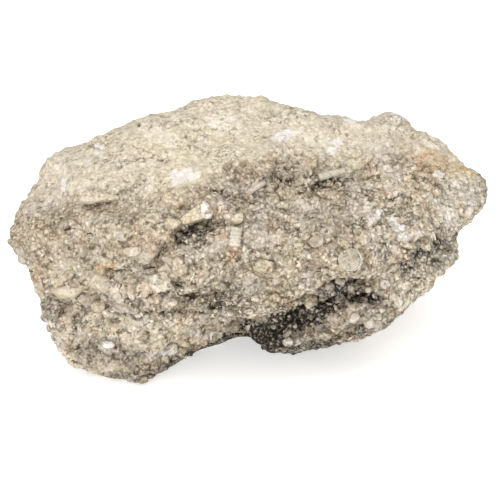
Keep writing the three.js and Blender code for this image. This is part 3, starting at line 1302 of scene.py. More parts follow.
    swells: tuple[Swell, ...] = table(
        Swell,
        (38, 30.5, 4.6, 1.4), (41.8, 30.6, 2.6, 1.1), (46.5, 26.5, 4, 1), (57, 20.2, 4.5, -2.9),
        (56.5, 0.6, 3.4, -2.6), (62.5, 6.2, 4.5, -3.8), (53, -8.5, 6, -3.6), (46.4, -17.8, 3, -0.9),
        (30.3, 32, 3, -0.7), (20.8, 33.6, 6, -0.8), (3.1, 37.2, 3, 0.9), (-11, 37.7, 6, -0.8),
        (-29, 32, 5, -0.6), (-58.6, 15.7, 3.5, -1.1), (-61.7, 8.3, 3, 0.8), (-63.4, -4.6, 4.6, -1.7),
        (-61, -12, 5, -1.6), (-57.5, -21.5, 5, -2.2), (-54, -28.5, 5, -1.2), (-36, -38.5, 6, -0.7),
        (-11, -29.5, 4, -0.9), (0.5, -29, 2.6, 0.9), (16.7, -31.7, 5, -0.9), (38.5, -21.5, 5, 2.2),
        (-29.4, -39.2, 2.6, 2.8), (-22, -34.5, 4, -1.4), (4, -30.5, 3, 1.2), (-46.4, 25, 4, -1.7),
        (-54.6, 20.6, 2.6, 0.9), (62.2, 17.4, 2.4, 0.9), (-38, 29, 7, -1.6), (-21, 34.4, 8, -2.1),
        (-61, -5, 5, -2.2), (-55, -19, 6, -2.2), (-49, -34.4, 5, -2.9), (-59, 12, 5, 0.9),
    )
    holes: Patches = table(
        Patch,
        (-19.4, -12.9, 2.6, 2.2), (51, -1.2, 2, 2.4), (46.4, -4.2, 1.9, 1.5), (41.8, -7.5, 1.6, 1.4),
        (45.3, -8.2, 1.3, 1.3), (51.9, -7.2, 1.3, 1.3), (53.2, -3.9, 1.3, 1.5), (29.2, -12.4, 2.4, 1.6),
    )
    chalk: Patches = table(
        Patch,
        (-18, 15.6, 8.6, 4.6, 5), (-12.2, 7.6, 3, 1.8, 40, 0.7), (-10.2, 30.4, 3.2, 2.4),
        (-5, 31.1, 3, 1.8, 0, 0.6), (9.4, 27, 6.2, 3.6, 10), (23, 23.8, 4, 5.8), (27.4, 31, 4.2, 2.6),
        (39.8, 30.6, 4, 3.2), (34.8, 5.6, 2.2, 2.8), (33, 3.8, 2, 1.8, 0, 0.8),
        (39.4, 2.2, 4.4, 3, -30), (41.4, -0.4, 3.6, 3.2, 0, 0.9), (44.2, 3.2, 2.2, 2.2, 0, 0.7),
        (46, 0.1, 2.8, 1.6), (36.9, -5.6, 5.4, 3.2, 20, 0.6), (40.6, -7.6, 3.4, 2, 30, 0.6),
        (32, -9.2, 3.4, 2, 0, 0.7), (40.7, 10.4, 2.4, 3, 0, 0.6), (37.2, 12, 3.6, 1.8, 20, 0.5),
        (55.6, 6, 6, 3, 20, 0.6), (-38.5, -29.8, 3.4, 2.4), (-37, -28, 1.2, 1.8), (-39.3, -33.6, 2, 2),
        (-40.6, 22.6, 3.4, 3, 40, 0.9), (-44, 20.2, 4, 2.4, 10, 0.6), (-50.5, 13.7, 1.5, 4.2, 10),
        (-15, -25.7, 3.2, 2.4), (-25.4, -32.4, 9.6, 2, 14), (-10.5, -26.8, 5.2, 1.6),
        (58, 8.8, 6, 4.6, 0, 0.75), (62, 12.1, 1.8, 1.8), (51, 16.2, 3.4, 2.2),
        (32.3, -23.2, 4.6, 4.4, 0, 0.7), (27.6, -22, 4, 3.2, 30, 0.5), (34, -18, 9, 3.4, 20, 0.35),
        (48, -6, 3, 2),
    )
    rust: Patches = table(
        Patch,
        (49.7, 19.5, 11, 7, -15), (58, 17.5, 6, 2.6, -20), (-4.5, -5.3, 6, 4.4),
        (16.5, 18.5, 5, 3.4, 0, 0.45), (-39, -9, 7, 3), (-37, -9.5, 6, 2, 0, 0.6),
    )
    base: Array = field(init=False)
    normals: Array = field(init=False)
    faces: Array = field(init=False)
    places: Array = field(init=False)
    facing: Array = field(init=False)
    ragged: Array = field(init=False)
    calm: Array = field(init=False)
    rugged: Array = field(init=False)
    points: Array = field(init=False)
    marks: Marks = field(init=False)

    def build(self) -> bpy.types.Object:
        """Makes the body.

        Returns:
            The new object, without its finish.
        """
        smooth = self._refined_solid()
        self.base = read_rows(smooth.vertices, "co") / MM
        self.normals = read_rows(smooth.vertices, "normal")
        corners = np.empty(len(smooth.loops), np.int32)
        smooth.loops.foreach_get("vertex_index", corners)
        self.faces = corners.reshape(-1, 4)
        self.places = self.viewer.places(self.base)
        self.facing = self.viewer.facing(self.normals)
        self.ragged = 0.8 * self.noise.layered(self.base + 5, 2.6, 3)
        self.calm = self._calm()
        self.rugged = self._rugged()
        chunks, seams, paler = self._broken_chunks()
        raised, painted_shade, lip_highlight, rifts = self._relief()
        raised += chunks * self._above_foot() * (1 - 0.6 * self.viewer.edge_on(self.normals))
        # Painted shade in the seams between chunks.
        painted_shade = np.maximum(painted_shade, 0.55 * seams)
        self.points = self.base + self.normals * raised[:, None]
        self.points[:, 2] = np.maximum(self.points[:, 2], 0.0)
        self.marks = {**self._stains_and_painted_light(painted_shade), **rifts}
        # Ledge lips are painted paler: a painted highlight where their edges catch the light.
        self.marks["tone"] += paler + 0.3 * lip_highlight
        return make_mesh("stone_body", self.points, self.faces, self._bake_map(), self.marks, True)

    def _refined_solid(self) -> bpy.types.Mesh:
        """Turns the frame's solid into even, smooth four-sided faces.

        Returns:
            The new mesh, in metres.
        """
        work = bpy.data.objects.new("work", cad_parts[NODE].data.copy())
        bpy.context.collection.objects.link(work)
        bm = bmesh.new()
        bm.from_mesh(work.data)
        bmesh.ops.remove_doubles(bm, verts=bm.verts, dist=1e-6)
        bm.to_mesh(work.data)
        bm.free()
        remesh = work.modifiers.new("even", "REMESH")
        remesh.mode = "VOXEL"
        remesh.voxel_size = self.mesh_size * MM
        iron = work.modifiers.new("iron", "SMOOTH")
        iron.factor = 0.5
        iron.iterations = self.ironing
        graph = bpy.context.evaluated_depsgraph_get()
        mesh = bpy.data.meshes.new_from_object(work.evaluated_get(graph))
        bpy.data.objects.remove(work)
        return mesh

    def _above_foot(self) -> Array:
        """0 at the foot, so that it stays flat, and 1 well above it."""
        return smoothstep(0.2, self.foot, self.base[:, 2])

    def _covered(self, patches: Patches, ragged: Array) -> Array:
        """How much each corner belongs to the patches, 0 to 1."""
        return np.max([patch.share(self.places, ragged) for patch in patches], axis=0)

    def _calm(self) -> Array:
        """Finds where the sand is finest and the surface smoothest.

        Returns:
            0 to 1 for each corner.
        """
        _, above = from_line(self.places, self.scarp)
        upper = np.where(self.facing > 0, smoothstep(-2, 4, above + 2.5 * self.ragged), 1)
        topside = smoothstep(0.15, 0.6, self.normals[:, 2] + 0.25 * self.noise(self.base + 15, 9.0))
        fine = self._covered(self.fine_beds, self.ragged)
        return np.maximum(topside * upper, fine * self.facing)

    def _rugged(self) -> Array:
        """Finds where the stone breaks into the biggest lumps.

        Returns:
            0 to 1 for each corner.
        """
        ragged = 0.8 * self.noise.layered(self.base + 35, 6.0, 2)
        lumpy = self._covered(self.big_lumps, ragged) * self.facing
        return np.maximum(0.4 * (1 - self.facing), lumpy) * (1 - self.calm)

    def _relief(self) -> tuple[Array, Array, Array, Marks]:
        """The roughness of the broken rock, its ledges, its holes and the swells of its outline.

        Returns:
            How far each corner is raised, mm, how much shade is painted on it in pits, holes and
            splits, 0 to 1, how much it is on the lip of a ledge, 0 to 1, and how far it is from the
            nearest split, with how open that split is.
        """
        base, noise, viewer = self.base, self.noise, self.viewer
        raised, painted_shade = self._broken_beds()
        lip_highlight = np.zeros(len(base))
        rift = np.full(len(base), 2.0)
        rift_open = np.zeros(len(base))

        stray = np.stack([noise(base + 7, 3.4), noise(base - 7, 3.4)], axis=1)
        fine = np.stack([noise(base + 3, 1.5), noise(base - 3, 1.5)], axis=1)
        strayed = self.places + 0.9 * stray + 0.5 * fine
        facing = viewer.facing(self.normals, -0.1, 0.2)
        pinched = 1 + 0.55 * noise(base + 70, 4.5) + 0.45 * noise(base + 80, 1.7)
        pinched = np.maximum(pinched, 0.3)
        crumbled = smoothstep(-0.3, 0.3, noise(base + 130, 4.0))
        for ledge in self.ledges:
            lift, split, lip, signed, open_here = ledge.cut(strayed, pinched, crumbled)
            raised += lift * facing
            lip_highlight = np.maximum(lip_highlight, lip * facing)
            fine_split = smoothstep(1.0, 0.6, ledge.split)
            # Painted shade in the split under each ledge.
            painted_shade = np.maximum(painted_shade, ledge.crack_shade * split * facing * (1 - 0.55 * fine_split))
            nearer = np.abs(signed) < np.abs(rift)
            rift = np.where(nearer, signed, rift)
            rift_open = np.where(nearer, open_here * facing, rift_open)
        for hole in self.holes:
            cut = hole.share(strayed, 0.15 * stray[:, 0]) * facing
            raised -= self.hole_depth * cut
            # Painted shade in the holes.
            painted_shade = np.maximum(painted_shade, 0.8 * cut)
        rim = viewer.edge_on(self.normals, 0.75, 0.35)
        for swell in self.swells:
            away = np.linalg.norm(self.places - (swell.across, swell.up), axis=1)
            raised += swell.height * np.exp(-((away / swell.size) ** 2)) * rim
        raised = raised * (0.15 + 0.85 * self._above_foot())
        return raised, painted_shade, lip_highlight, {"rift": rift, "rift_open": rift_open}

    def _broken_beds(self) -> tuple[Array, Array]:
        """Stepped beds, lumps, crumbs, grains and pits all over the stone.

        Returns:
            How far each corner is raised, mm, and how much shade is painted in its pits, 0 to 1.
        """
        base, noise = self.base, self.noise
        lean = math.radians(self.bed_lean_deg)
        bed_way = np.array([-math.sin(lean), 0.1, math.cos(lean)])
        level = base @ bed_way + 1.6 * noise(base, 22.0)
        side = smoothstep(0.95, 0.6, np.abs(self.normals @ bed_way))
        patchy = smoothstep(-0.25, 0.45, noise(base + 40, 15.0))
        saw = (level / self.beds.size) % 1.0
        steps = side * patchy * (smoothstep(0.0, 0.22, saw) - smoothstep(0.25, 1.0, saw) - 0.2)
        lumps = noise.layered(base + 90, self.lumps.size, 2)
        ridges = 1 - 2 * np.abs(noise.layered(base + 110, self.crumbs.size, 2)) - 0.4
        near, _, own = noise.cells(base, self.grains.size)
        domes = np.where(own > 0.45, smoothstep(0.75, 0.15, near), 0)
        pits = noise.layered(base + 60, self.pits.size, 2) + 0.12 * lumps
        pits = smoothstep(0.42, 0.72, pits)
        kinds = (self.beds, self.lumps, self.crumbs, self.grains, self.pits)
        shapes = (steps, lumps, ridges, domes, pits)
        raised = sum(kind.height * shape for kind, shape in zip(kinds, shapes, strict=True))
        # Painted shade in the pits.
        return raised, 0.7 * pits

    def _broken_chunks(self) -> tuple[Array, Array, Array]:
        """Lumps of rock that lie flat and break apart at dark seams.

        Returns:
            How far each corner is raised, mm, how much it is in a seam, 0 to 1, and how much
            paler or darker its lump is, about 0, with painted shade towards its seams.
        """
        base, noise = self.base, self.noise
        strays = np.stack([noise.layered(base + turn, 3.0, 2) for turn in (21, 22, 23)], axis=1)
        lying = (base + 1.6 * strays) * (0.8, 0.8, 1.25)
        raised = np.zeros(len(base))
        seams = np.zeros(len(base))
        paler = np.zeros(len(base))
        for shift, chunk in zip((0, 50), self.chunks, strict=True):
            _, seam, own = noise.cells(lying + shift, chunk.size)
            inside = smoothstep(0.0, 0.4, seam)
            open_seam = smoothstep(-0.1, 0.4, noise(base + 150 + shift, 6.0))
            raised += chunk.height * (own - 0.5 + 0.5 * inside)
            seams = np.maximum(seams, smoothstep(0.7 / chunk.size, 0.0, seam) * open_seam)
            # Each lump's own tone, darker towards its seams as painted shade.
            paler += 0.24 * (own - 0.5) + 0.1 * (inside - 0.5)
        rough = (1 - 0.85 * self.calm) * (0.8 + 0.5 * self.rugged)
        return raised * rough, np.minimum(seams * rough, 1), paler * rough

    def _stains_and_painted_light(self, painted_shade: Array) -> Marks:
        """The colours of the surface.

        Args:
            painted_shade: how much shade is painted on it so far, 0 to 1.

        Returns:
            Named numbers for the finish, 0 to 1: how calm and rugged each corner is, its tone, its
            painted shade, and its chalk, rust and dust, which also paints top light on upward faces.
        """
        base, noise, facing, ragged = self.base, self.noise, self.facing, self.ragged
        behind = self.viewer.facing(self.normals, 0.1, -0.1)
        chalk = self._covered(self.chalk, ragged) * facing
        chalk = np.maximum(chalk, smoothstep(0.52, 0.66, noise.layered(base + 200, 7.0, 3)) * behind)
        rust = self._covered(self.rust, 1.2 * ragged) * facing
        smears = smoothstep(0.4, 0.8, noise.layered(base + 300, 16.0, 3))
        rust = np.maximum(rust, 0.7 * smears * behind)
        tone = 0.5 + 0.32 * noise.layered(base + 11, 5.0, 3)
        tone += 0.2 * (1 - self.calm)
        for patch in self.pale:
            tone += patch.share(self.places, ragged) * facing
        # Pale dust on upward faces, which also paints them paler as light from above would.
        dust_and_top_light = smoothstep(0.3, 0.85, self.normals[:, 2] + 0.2 * noise(base + 15, 9.0))
        _, above = from_line(self.places, self.scarp)
        dust_and_top_light *= np.where(facing > 0, smoothstep(-3, 5, above + 3 * ragged), 1)
        # Painted shade where the stone closes in around a place.
        painted_shade = np.maximum(painted_shade, smoothstep(0.3, 0.75, self._shelter()) * 0.85)
        seen = self.viewer.facing(self.normals, -0.2, 0.0)
        # Painted shade from the patches.
        painted_shade = np.maximum(painted_shade, self._covered(self.painted_shade_patches, ragged) * seen)
        return {
            "calm": self.calm,
            "rugged": self.rugged,
            "tone": tone,
            "painted_shade": painted_shade,
            "chalk": chalk * (1 - painted_shade),
            "rust": rust,
            "dust_and_top_light": dust_and_top_light * (1 - painted_shade),
        }

    def _shelter(self, rays: int = 48, reach: float = 22.0) -> Array:
        """How closed in each corner is by the stone around it.

        Args:
            rays: how many ways are looked along from each corner of the frame's solid.
            reach: how far, mm.

        Returns:
            0 in the open to 1 where every way meets stone.
        """
        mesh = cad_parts[NODE].data
        corners = (read_rows(mesh.vertices, "co") / MM).round(4)
        points, first = np.unique(corners, axis=0, return_index=True)
        ways = read_rows(mesh.vertices, "normal")[first]
        polygons = [tuple(p.vertices) for p in mesh.polygons]
        solid = BVHTree.FromPolygons([v.co / MM for v in mesh.vertices], polygons)
        fan = unit(np.random.default_rng(SEED).normal(size=(rays, 3)))
        closed = np.zeros(len(points))
        for i, (point, way) in enumerate(zip(points, ways, strict=True)):
            start = point + 0.4 * way
            open_fan = unit(fan * np.sign(fan @ way)[:, None] + way)
            hits = sum(solid.ray_cast(start, ray, reach)[0] is not None for ray in open_fan)
            closed[i] = hits / rays
        tree = find_tree(points)
        shelter = np.empty(len(self.base))
        for i, point in enumerate(self.base):
            found = tree.find_n(point, 3)
            weight = [1 / (gap + 0.3) for _, _, gap in found]
            total = sum(w * closed[index] for w, (_, index, _) in zip(weight, found))
            shelter[i] = total / sum(weight)
        return shelter

    def _bake_map(self, margin: float = 1.5) -> Array:
        """Lays the surface flat in six views side by side, in one square.

        Args:
            margin: free space around each view, mm.

        Returns:
            A place in the square for each corner of each face, 0 to 1.
        """
        base = self.base
        facing = self.normals[self.faces].mean(axis=1) * (0.9, 1.0, 1.0)
        axis = np.abs(facing).argmax(axis=1)
        ahead = np.take_along_axis(facing, axis[:, None], 1)[:, 0] > 0
        low, size = base.min(axis=0) - margin, np.ptp(base, axis=0) + 2 * margin
        flat_axes = ((1, 2), (0, 2), (0, 1))
        rows = (0.0, size[2], 2 * size[2])
        whole = max(2 * size[0], 2 * size[2] + size[1])
        bake = np.empty((len(self.faces), 4, 2))
        for view, (first, second) in enumerate(flat_axes):
            for side in (False, True):
                chosen = (axis == view) & (ahead == side)
                laid = base[self.faces[chosen]][:, :, (first, second)] - low[[first, second]]
                laid[:, :, 0] += size[first] * side
                laid[:, :, 1] += rows[view]
                bake[chosen] = laid / whole
        return bake


# ---- what is set in the body


class Setting:
    """Finds places on the body for grains and fossils, and keeps them clear of each other."""

    def __init__(self, body: StoneBody, seed: int) -> None:
        """Prepares the body's surface.

        Args:
            body: the finished body.
            seed: for the places that are left to chance.
        """
        self.body = body
        self.viewer = body.viewer
        self.rng = np.random.default_rng(seed)
        self.tree = BVHTree.FromPolygons(body.points, body.faces)
        corners = body.points[body.faces]
        first = np.cross(corners[:, 1] - corners[:, 0], corners[:, 2] - corners[:, 0])
        second = np.cross(corners[:, 2] - corners[:, 0], corners[:, 3] - corners[:, 0])
        areas = np.stack([first, second])
        self.areas = np.linalg.norm(areas, axis=2) / 2
        self.taken: list[tuple[Array, float]] = []

    def scatter(self, count: int) -> Spots:
        """Spreads places evenly over the whole surface by chance.

        Args:
            count: how many.

        Returns:
            The places.
        """
        flat = self.areas.ravel()
        pick = self.rng.choice(len(flat), count, p=flat / flat.sum())
        half, face = np.divmod(pick, self.areas.shape[1])
        corners = self.body.faces[face]
        three = np.where(half[:, None] == 0, corners[:, (0, 1, 2)], corners[:, (0, 2, 3)])
        a, b = self.rng.random((2, count))
        over = a + b > 1
        a, b = np.where(over, 1 - a, a), np.where(over, 1 - b, b)
        share = np.stack([1 - a - b, a, b], axis=1)
        points = (self.body.points[three] * share[:, :, None]).sum(axis=1)
        normals = unit((self.body.normals[three] * share[:, :, None]).sum(axis=1))
        marks = {m: (v[three] * share).sum(axis=1) for m, v in self.body.marks.items()}
        return Spots(points, normals, marks)

    def meet(self, places: Line) -> Spots:
        """Finds the surface straight behind places on the front, as the viewer sees them.

        Args:
            places: across and up of each.

        Returns:
            One place on the surface for each.
        """
        points, nearest = [], []
        for across, up in places:
            sight = Vector(self.viewer.spot(across, up) - self.viewer.eye).normalized()
            point, _, face, _ = self.tree.ray_cast(Vector(self.viewer.eye), sight)
            if point is None:
                point, _, face, _ = self.tree.find_nearest(Vector(self.viewer.spot(across, up)))
            points.append(point)
            nearest.append(self.body.faces[face][0])
        normals = self.body.normals[nearest]
        marks = {m: v[nearest] for m, v in self.body.marks.items()}
        return Spots(np.array(points), normals, marks)

    def claim(self, points: Array, radii: Array) -> None:
        """Keeps places clear for what stands there."""
        self.taken += list(zip(points, radii, strict=True))

    def spread(self, spots: Spots, radii: Array, closeness: float, most: int) -> Array:
        """Picks places that keep clear of each other and of what is there, biggest first.

        Args:
            spots: places to pick from.
            radii: how big the piece at each would be, mm.
            closeness: how near two may come, as a share of their radii together.
            most: how many to pick at most.

        Returns:
            The numbers of the picked places.
        """
        tree = find_tree(spots.points)
        free = np.ones(len(spots), bool)
        biggest = radii.max()
        for point, radius in self.taken:
            for _, i, gap in tree.find_range(point, closeness * (radius + biggest)):
                if gap < closeness * (radius + radii[i]):
                    free[i] = False
        kept: list[int] = []
        for i in np.argsort(-radii):
            if not free[i]:
                continue
            kept.append(i)
            if len(kept) == most:
                break
            for _, j, gap in tree.find_range(spots.points[i], 2 * closeness * radii[i]):
                if gap < closeness * (radii[i] + radii[j]):
                    free[j] = False
        picked = np.array(kept)
        self.claim(spots.points[picked], radii[picked])
        return picked


class GrainSize(Enum):
    """The sizes of sand and gravel in the rock, each with the name of its piece."""

    GRAVEL = "gravel_grains_1"
    COARSE = "coarse_grains_1"
    FINE = "fine_grains_1"


@dataclass(frozen=True)
class GrainKind:
    """How grains of one size are made.

    Attributes:
        smallest: radius, mm.
        biggest: radius, mm.
        tries: how many places are looked at.
        most: how many are made at most.
        closeness: how near two may come, as a share of their radii together.
        corners: how many corners each has.
        shapes: how many different ones there are.
        finish: the surface.
    """

    smallest: float
    biggest: float
    tries: int
    most: int
    closeness: float
    corners: int
    shapes: int
    finish: Finish


GRAIN_KINDS = {
    GrainSize.GRAVEL: GrainKind(1.0, 2.0, 2400, 620, 1.0, 42, 12, CRUSTED_LUMP),
    GrainSize.COARSE: GrainKind(0.55, 1.0, 12000, 3200, 0.8, 24, 24, SAND_GRAIN),
    GrainSize.FINE: GrainKind(0.28, 0.5, 16000, 4200, 0.9, 12, 24, SAND_GRAIN),
}


def chance_sizes(rng: Chance, kind: "GrainKind | FossilKind", count: int, few: float) -> Array:
    """Sizes from a kind's smallest to its biggest. The higher few is, the fewer are big."""
    return kind.smallest * (kind.biggest / kind.smallest) ** (rng.random(count) ** few)


@dataclass
class GrainCover:
    """The grains that stand out of the body.

    Attributes:
        setting: where they may go.
        noise: spreads their sizes in patches.
        broken_faces: how many flat faces each grain has.
        sliver_share: how many of the grains are slivers, 0 to 1.
        slivers: the lengths, widths and heights of slivers.
        sunk: the lowest and the highest that a grain's middle lies, in radii.
        tone: how pale grains are on average, and how much that varies.
        chalk_left: shares of the stone's chalk that a grain may have.
        white_share: how many grains are white wherever they are, 0 to 1.
    """

    setting: Setting
    noise: Noise
    broken_faces: int = 7
    sliver_share: float = 0.3
    slivers: tuple[tuple[float, ...], ...] = ((1.7, 0.6, 0.6), (1.5, 1.2, 0.4), (0.5, 1.6, 1.0))
    sunk: tuple[float, float] = (-0.8, -0.25)
    tone: tuple[float, float] = (0.48, 0.07)
    chalk_left: tuple[float, ...] = (1.0, 0.9, 0.4, 0.1)
    white_share: float = 0.003

    def build(self, size: GrainSize) -> bpy.types.Object:
        """Makes all the grains of one size.

        Args:
            size: which.

        Returns:
            The new object, joined.
        """
        kind = GRAIN_KINDS[size]
        rng = self.setting.rng
        spots = self.setting.scatter(kind.tries)
        spots = spots.take(self._wanted(spots, size))
        radii = chance_sizes(rng, kind, len(spots), 1.6)
        picked = self.setting.spread(spots, radii, kind.closeness, kind.most)
        rng.shuffle(picked)
        wobble = 2.4 / kind.corners
        patterns = [
            Pattern.lump(rng, kind.corners, self.broken_faces, wobble) for _ in range(kind.shapes)
        ]
        shares = np.array_split(picked, kind.shapes)
        groups = [
            self._copies(pattern, spots.take(share), radii[share])
            for pattern, share in zip(patterns, shares, strict=True)
        ]
        return join_copies(size.value, groups, True)

    def _wanted(self, spots: Spots, size: GrainSize) -> Array:
        """Picks places that suit grains of a size, by chance.

        Args:
            spots: the places.
            size: the grains' size.

        Returns:
            The numbers of the picked places.
        """
        x, _, z = spots.points.T
        chance = self.setting.rng.random(len(spots))
        coarse = 0.8 + 0.4 * self.noise(spots.points, 24.0) + 0.2 * smoothstep(-15, 35, x)
        coarse -= 0.9 * spots.marks["calm"]
        edge_on = self.setting.viewer.edge_on(spots.normals)
        coarse -= 0.7 * edge_on
        if size is GrainSize.GRAVEL:
            coarse -= 0.35 * spots.marks["rugged"] + 0.4 * edge_on
            return np.flatnonzero((z > 5.0) & (chance < coarse))
        fewer = 0.75 * spots.marks["rugged"] + 0.3 * smoothstep(25, 40, x)
        dark = spots.marks["painted_shade"] > 0.6
        if size is GrainSize.COARSE:
            return np.flatnonzero((z > 1.2) & (chance < coarse - np.where(dark, 0.5, fewer)))
        return np.flatnonzero((z > 1.2) & ~dark & (chance > 0.5 * spots.marks["calm"] + fewer))

    def _copies(self, pattern: Pattern, spots: Spots, radii: Array) -> Copies:
        """Copies one grain, each copy turned, stretched and sunk by chance.

        Args:
            pattern: the grain.
            spots: where the copies go.
            radii: how big each is, mm.

        Returns:
            The copies.
        """
        count = len(spots)
        rng = self.setting.rng
        ways = unit(spots.normals + 0.4 * rng.normal(size=(count, 3)))
        frames = turned_frames(ways, rng.uniform(0, 2 * math.pi, count))
        stretch = rng.uniform(0.7, 1.35, (count, 3)) * (1.0, 1.0, 0.85)
        sliver = rng.random(count) < self.sliver_share
        stretch[sliver] *= rng.choice(self.slivers, sliver.sum())
        frames = frames * (stretch * radii[:, None])[:, :, None]
        lift = rng.uniform(*self.sunk, count) * radii
        origins = spots.points + spots.normals * lift[:, None]
        marks = dict(spots.marks)
        tone = rng.normal(*self.tone, count) + 0.6 * (marks["tone"] - 0.5)
        marks["tone"] = np.clip(tone, 0, 0.85)
        marks["chalk"] = marks["chalk"] * rng.choice(self.chalk_left, count)
        # Grains take part of the stone's painted shade, more or less by chance.
        marks["painted_shade"] = marks["painted_shade"] * rng.uniform(0.1, 1.15, count)
        white = rng.random(count) < self.white_share
        marks["chalk"] = np.maximum(marks["chalk"], 0.7 * white)
        return Copies(pattern, origins, frames, marks)


class Fossil(Enum):
    """What is set in the rock besides grains, each with the name of its piece."""

    STEM_PLATE = "stem_plates"
    STEM = "stem_pieces"
    SHELL = "shell_bits"
    PEBBLE = "pebbles"
    BLOCK = "broken_blocks"
    CHIP = "chalk_chips"


@dataclass(frozen=True)
class Inclusion:
    """One fossil, pebble, block or chip.

    Attributes:
        across: its middle.
        up: its middle.
        wide: its width, mm.
        tall: its height, mm.
        thick: its thickness, mm.
        proud: how far its middle stands out of the stone, mm.
        tone: how pale it is, 0 to 1.
        shape: which of its kind's shapes it takes.
        turn_deg: how far it is turned to the left, seen from the front.
        facing: how much it faces the viewer rather than straight out of the stone, 0 to 1.
        nod_deg: how far its upper edge is tipped towards the viewer.
        clean: how free of stuck sand it is, 0 to 1.
        chalk: how white it is, 0 to 1.
    """

    across: float
    up: float
    wide: float
    tall: float
    thick: float
    proud: float
    tone: float
    shape: int = 0
    turn_deg: float = 0.0
    facing: float = 0.7
    nod_deg: float = 0.0
    clean: float = 0.0
    chalk: float = 0.0


@dataclass(frozen=True)
class FossilKind:
    """How fossils of one kind are made.

    Attributes:
        finish: the surface.
        scattered: how many are set behind the stone by chance, at most.
        smallest: width of the smallest of those, mm.
        biggest: width of the biggest, mm.
        form: height and thickness of those as a share of their width.
        smooth: whether they are shaded smooth.
        known: those with a known place.
    """

    finish: Finish
    scattered: int
    smallest: float
    biggest: float
    form: tuple[float, float]
    smooth: bool
    known: tuple[Inclusion, ...]


STEM_PLATES = table(
    Inclusion,
    (27.1, -6.7, 5.6, 5.7, 2.6, 0.4, 0.44, 0, -80, 0.8, 17, 0.35),
    # A paler plate just behind and to the right of the one above, whose edge shows as a bright
    # crescent: a painted highlight.
    (27.7, -6.65, 5.7, 5.6, 2, 0.1, 0.95, 4, -80, 0.8, 17, 0.5, 0.5),
    (15.6, 1.9, 4.2, 3.8, 1.8, 0, 0.34, 4, 40, 0.75, 8, 0.5),
    (18, -1.6, 3.8, 3, 1.4, -0.2, 0.3, 4, 20, 0.7, 8, 0.4),
    (15.7, 17, 2.3, 2.3, 1.2, 0.2, 0.6, 2, 0, 0.9),
    (36.8, -13.2, 2.6, 2.4, 1.2, 0.1, 0.7, 2),
)
STEMS = table(
    Inclusion,
    (-3.9, -0.6, 3.3, 5.2, 3, 1.1, 0.6, 0, -6, 0.85, -8, 0.9),
    (1.5, 12.8, 1.9, 6.4, 1.7, 0.35, 0.42, 1, -56, 0.8, 0, 0.45),
    (22.3, 16.6, 2.2, 7.4, 2, 0.8, 0.5, 1, -77, 0.7, 6, 0.65),
    (2, 7.2, 0.9, 3.2, 0.9, 0.3, 0.5, 1, -72, 0.7, 0, 0.3),
    (-11, -12, 1, 3.6, 1, 0.4, 0.7, 1, -50),
)
SHELLS = table(
    Inclusion,
    (30.6, 20.2, 9, 3.4, 1.8, 0.4, 0.72, 0, 27, 0.5, -10, 0.3),
    (-49.8, -15.4, 8.6, 5.4, 1.5, 1, 0.8, 1, 6, 0.6, -54, 0.6),
    (-40.9, -12.8, 6.6, 5.6, 1.4, 0.9, 0.82, 3, -20, 0.7, -40, 0.6),
    (29.3, 1, 4.4, 3.6, 1.2, 0.2, 0.5, 0, 8, 0.6, -45),
    (-29, -27.6, 3.6, 3, 1, 0.2, 0.6, 2, 10, 0.7, -50),
    (-27, -9.8, 5, 3.2, 1, 0.2, 0.6, 1, 8, 0.7, -60),
    (-44, -8.2, 4.4, 3, 1, 0.2, 0.6, 2, -4, 0.6, -60),
    (-14.6, -19.4, 6, 3.6, 1, 0.2, 0.6, 0, -3, 0.6, -60),
)
PEBBLES = table(
    Inclusion,
    (-46.7, -19.7, 3, 3, 2.4, 0.5, 0.8),
    (-15.4, -8.8, 2.2, 2.5, 2, 0.2, 0.9, 3),
    (-13.2, -17.6, 2.4, 2.4, 2, 0.2, 0.8),
    (27.2, -14.5, 3, 2.6, 2.2, 0.5, 0.7, 3),
    (10.5, -29, 3.3, 3, 2.6, 0.5, 0.9, 1, 0, 0.7, 0, 0, 0.5),
    (13.3, -28.6, 2.2, 2.2, 2, 0.4, 0.9, 2, 0, 0.7, 0, 0, 0.4),
    (4.6, 32.3, 4.2, 2.8, 2.2, 0.2, 0.85, 0, 10, 0.4),
    (28.6, -22.4, 3.8, 3, 2.6, 0.5, 0.8, 1, 40, 0.7, 0, 0.5, 0.35),
    (32.5, -23.4, 4, 4.4, 3, 0.6, 0.85, 2, -30, 0.7, 0, 0.5, 0.45),
    (38.8, 31, 5.4, 3.6, 3.6, 0.4, 0.9, 3, 0, 0.3, 0, 0, 0.45),
    (-29.2, -39, 3.6, 2.6, 2.6, 0.6, 0.35, 0, 0, 0.5),
    (57.4, 8.4, 4.4, 3.8, 2.8, 0.3, 0.8, 1, 0, 0.6, 0, 0, 0.3),
    (20.2, -9.6, 2.8, 2.4, 2, 0.3, 0.85, 2),
    (45, -12.4, 3.4, 2.8, 2.2, 0.3, 0.7, 3),
    (-20.8, -18.4, 2.9, 2.4, 2.2, 0.6, 0.85, 1, 10, 0.7, 0, 0.4),
    (-26.8, -17.4, 2.7, 2.3, 2, 0.5, 0.85, 2, 0, 0.7, 0, 0.4),
    (-0.4, -20.6, 2.6, 2.3, 2, 0.6, 0.9, 3, 30, 0.7, 0, 0.4),
    (1.6, -17.4, 2.4, 2.1, 2, 0.5, 0.85, 0, 0, 0.7, 0, 0.4),
    (-5.4, -21.2, 2.4, 2, 2, 0.5, 0.85, 1, 0, 0.7, 0, 0.4),
)
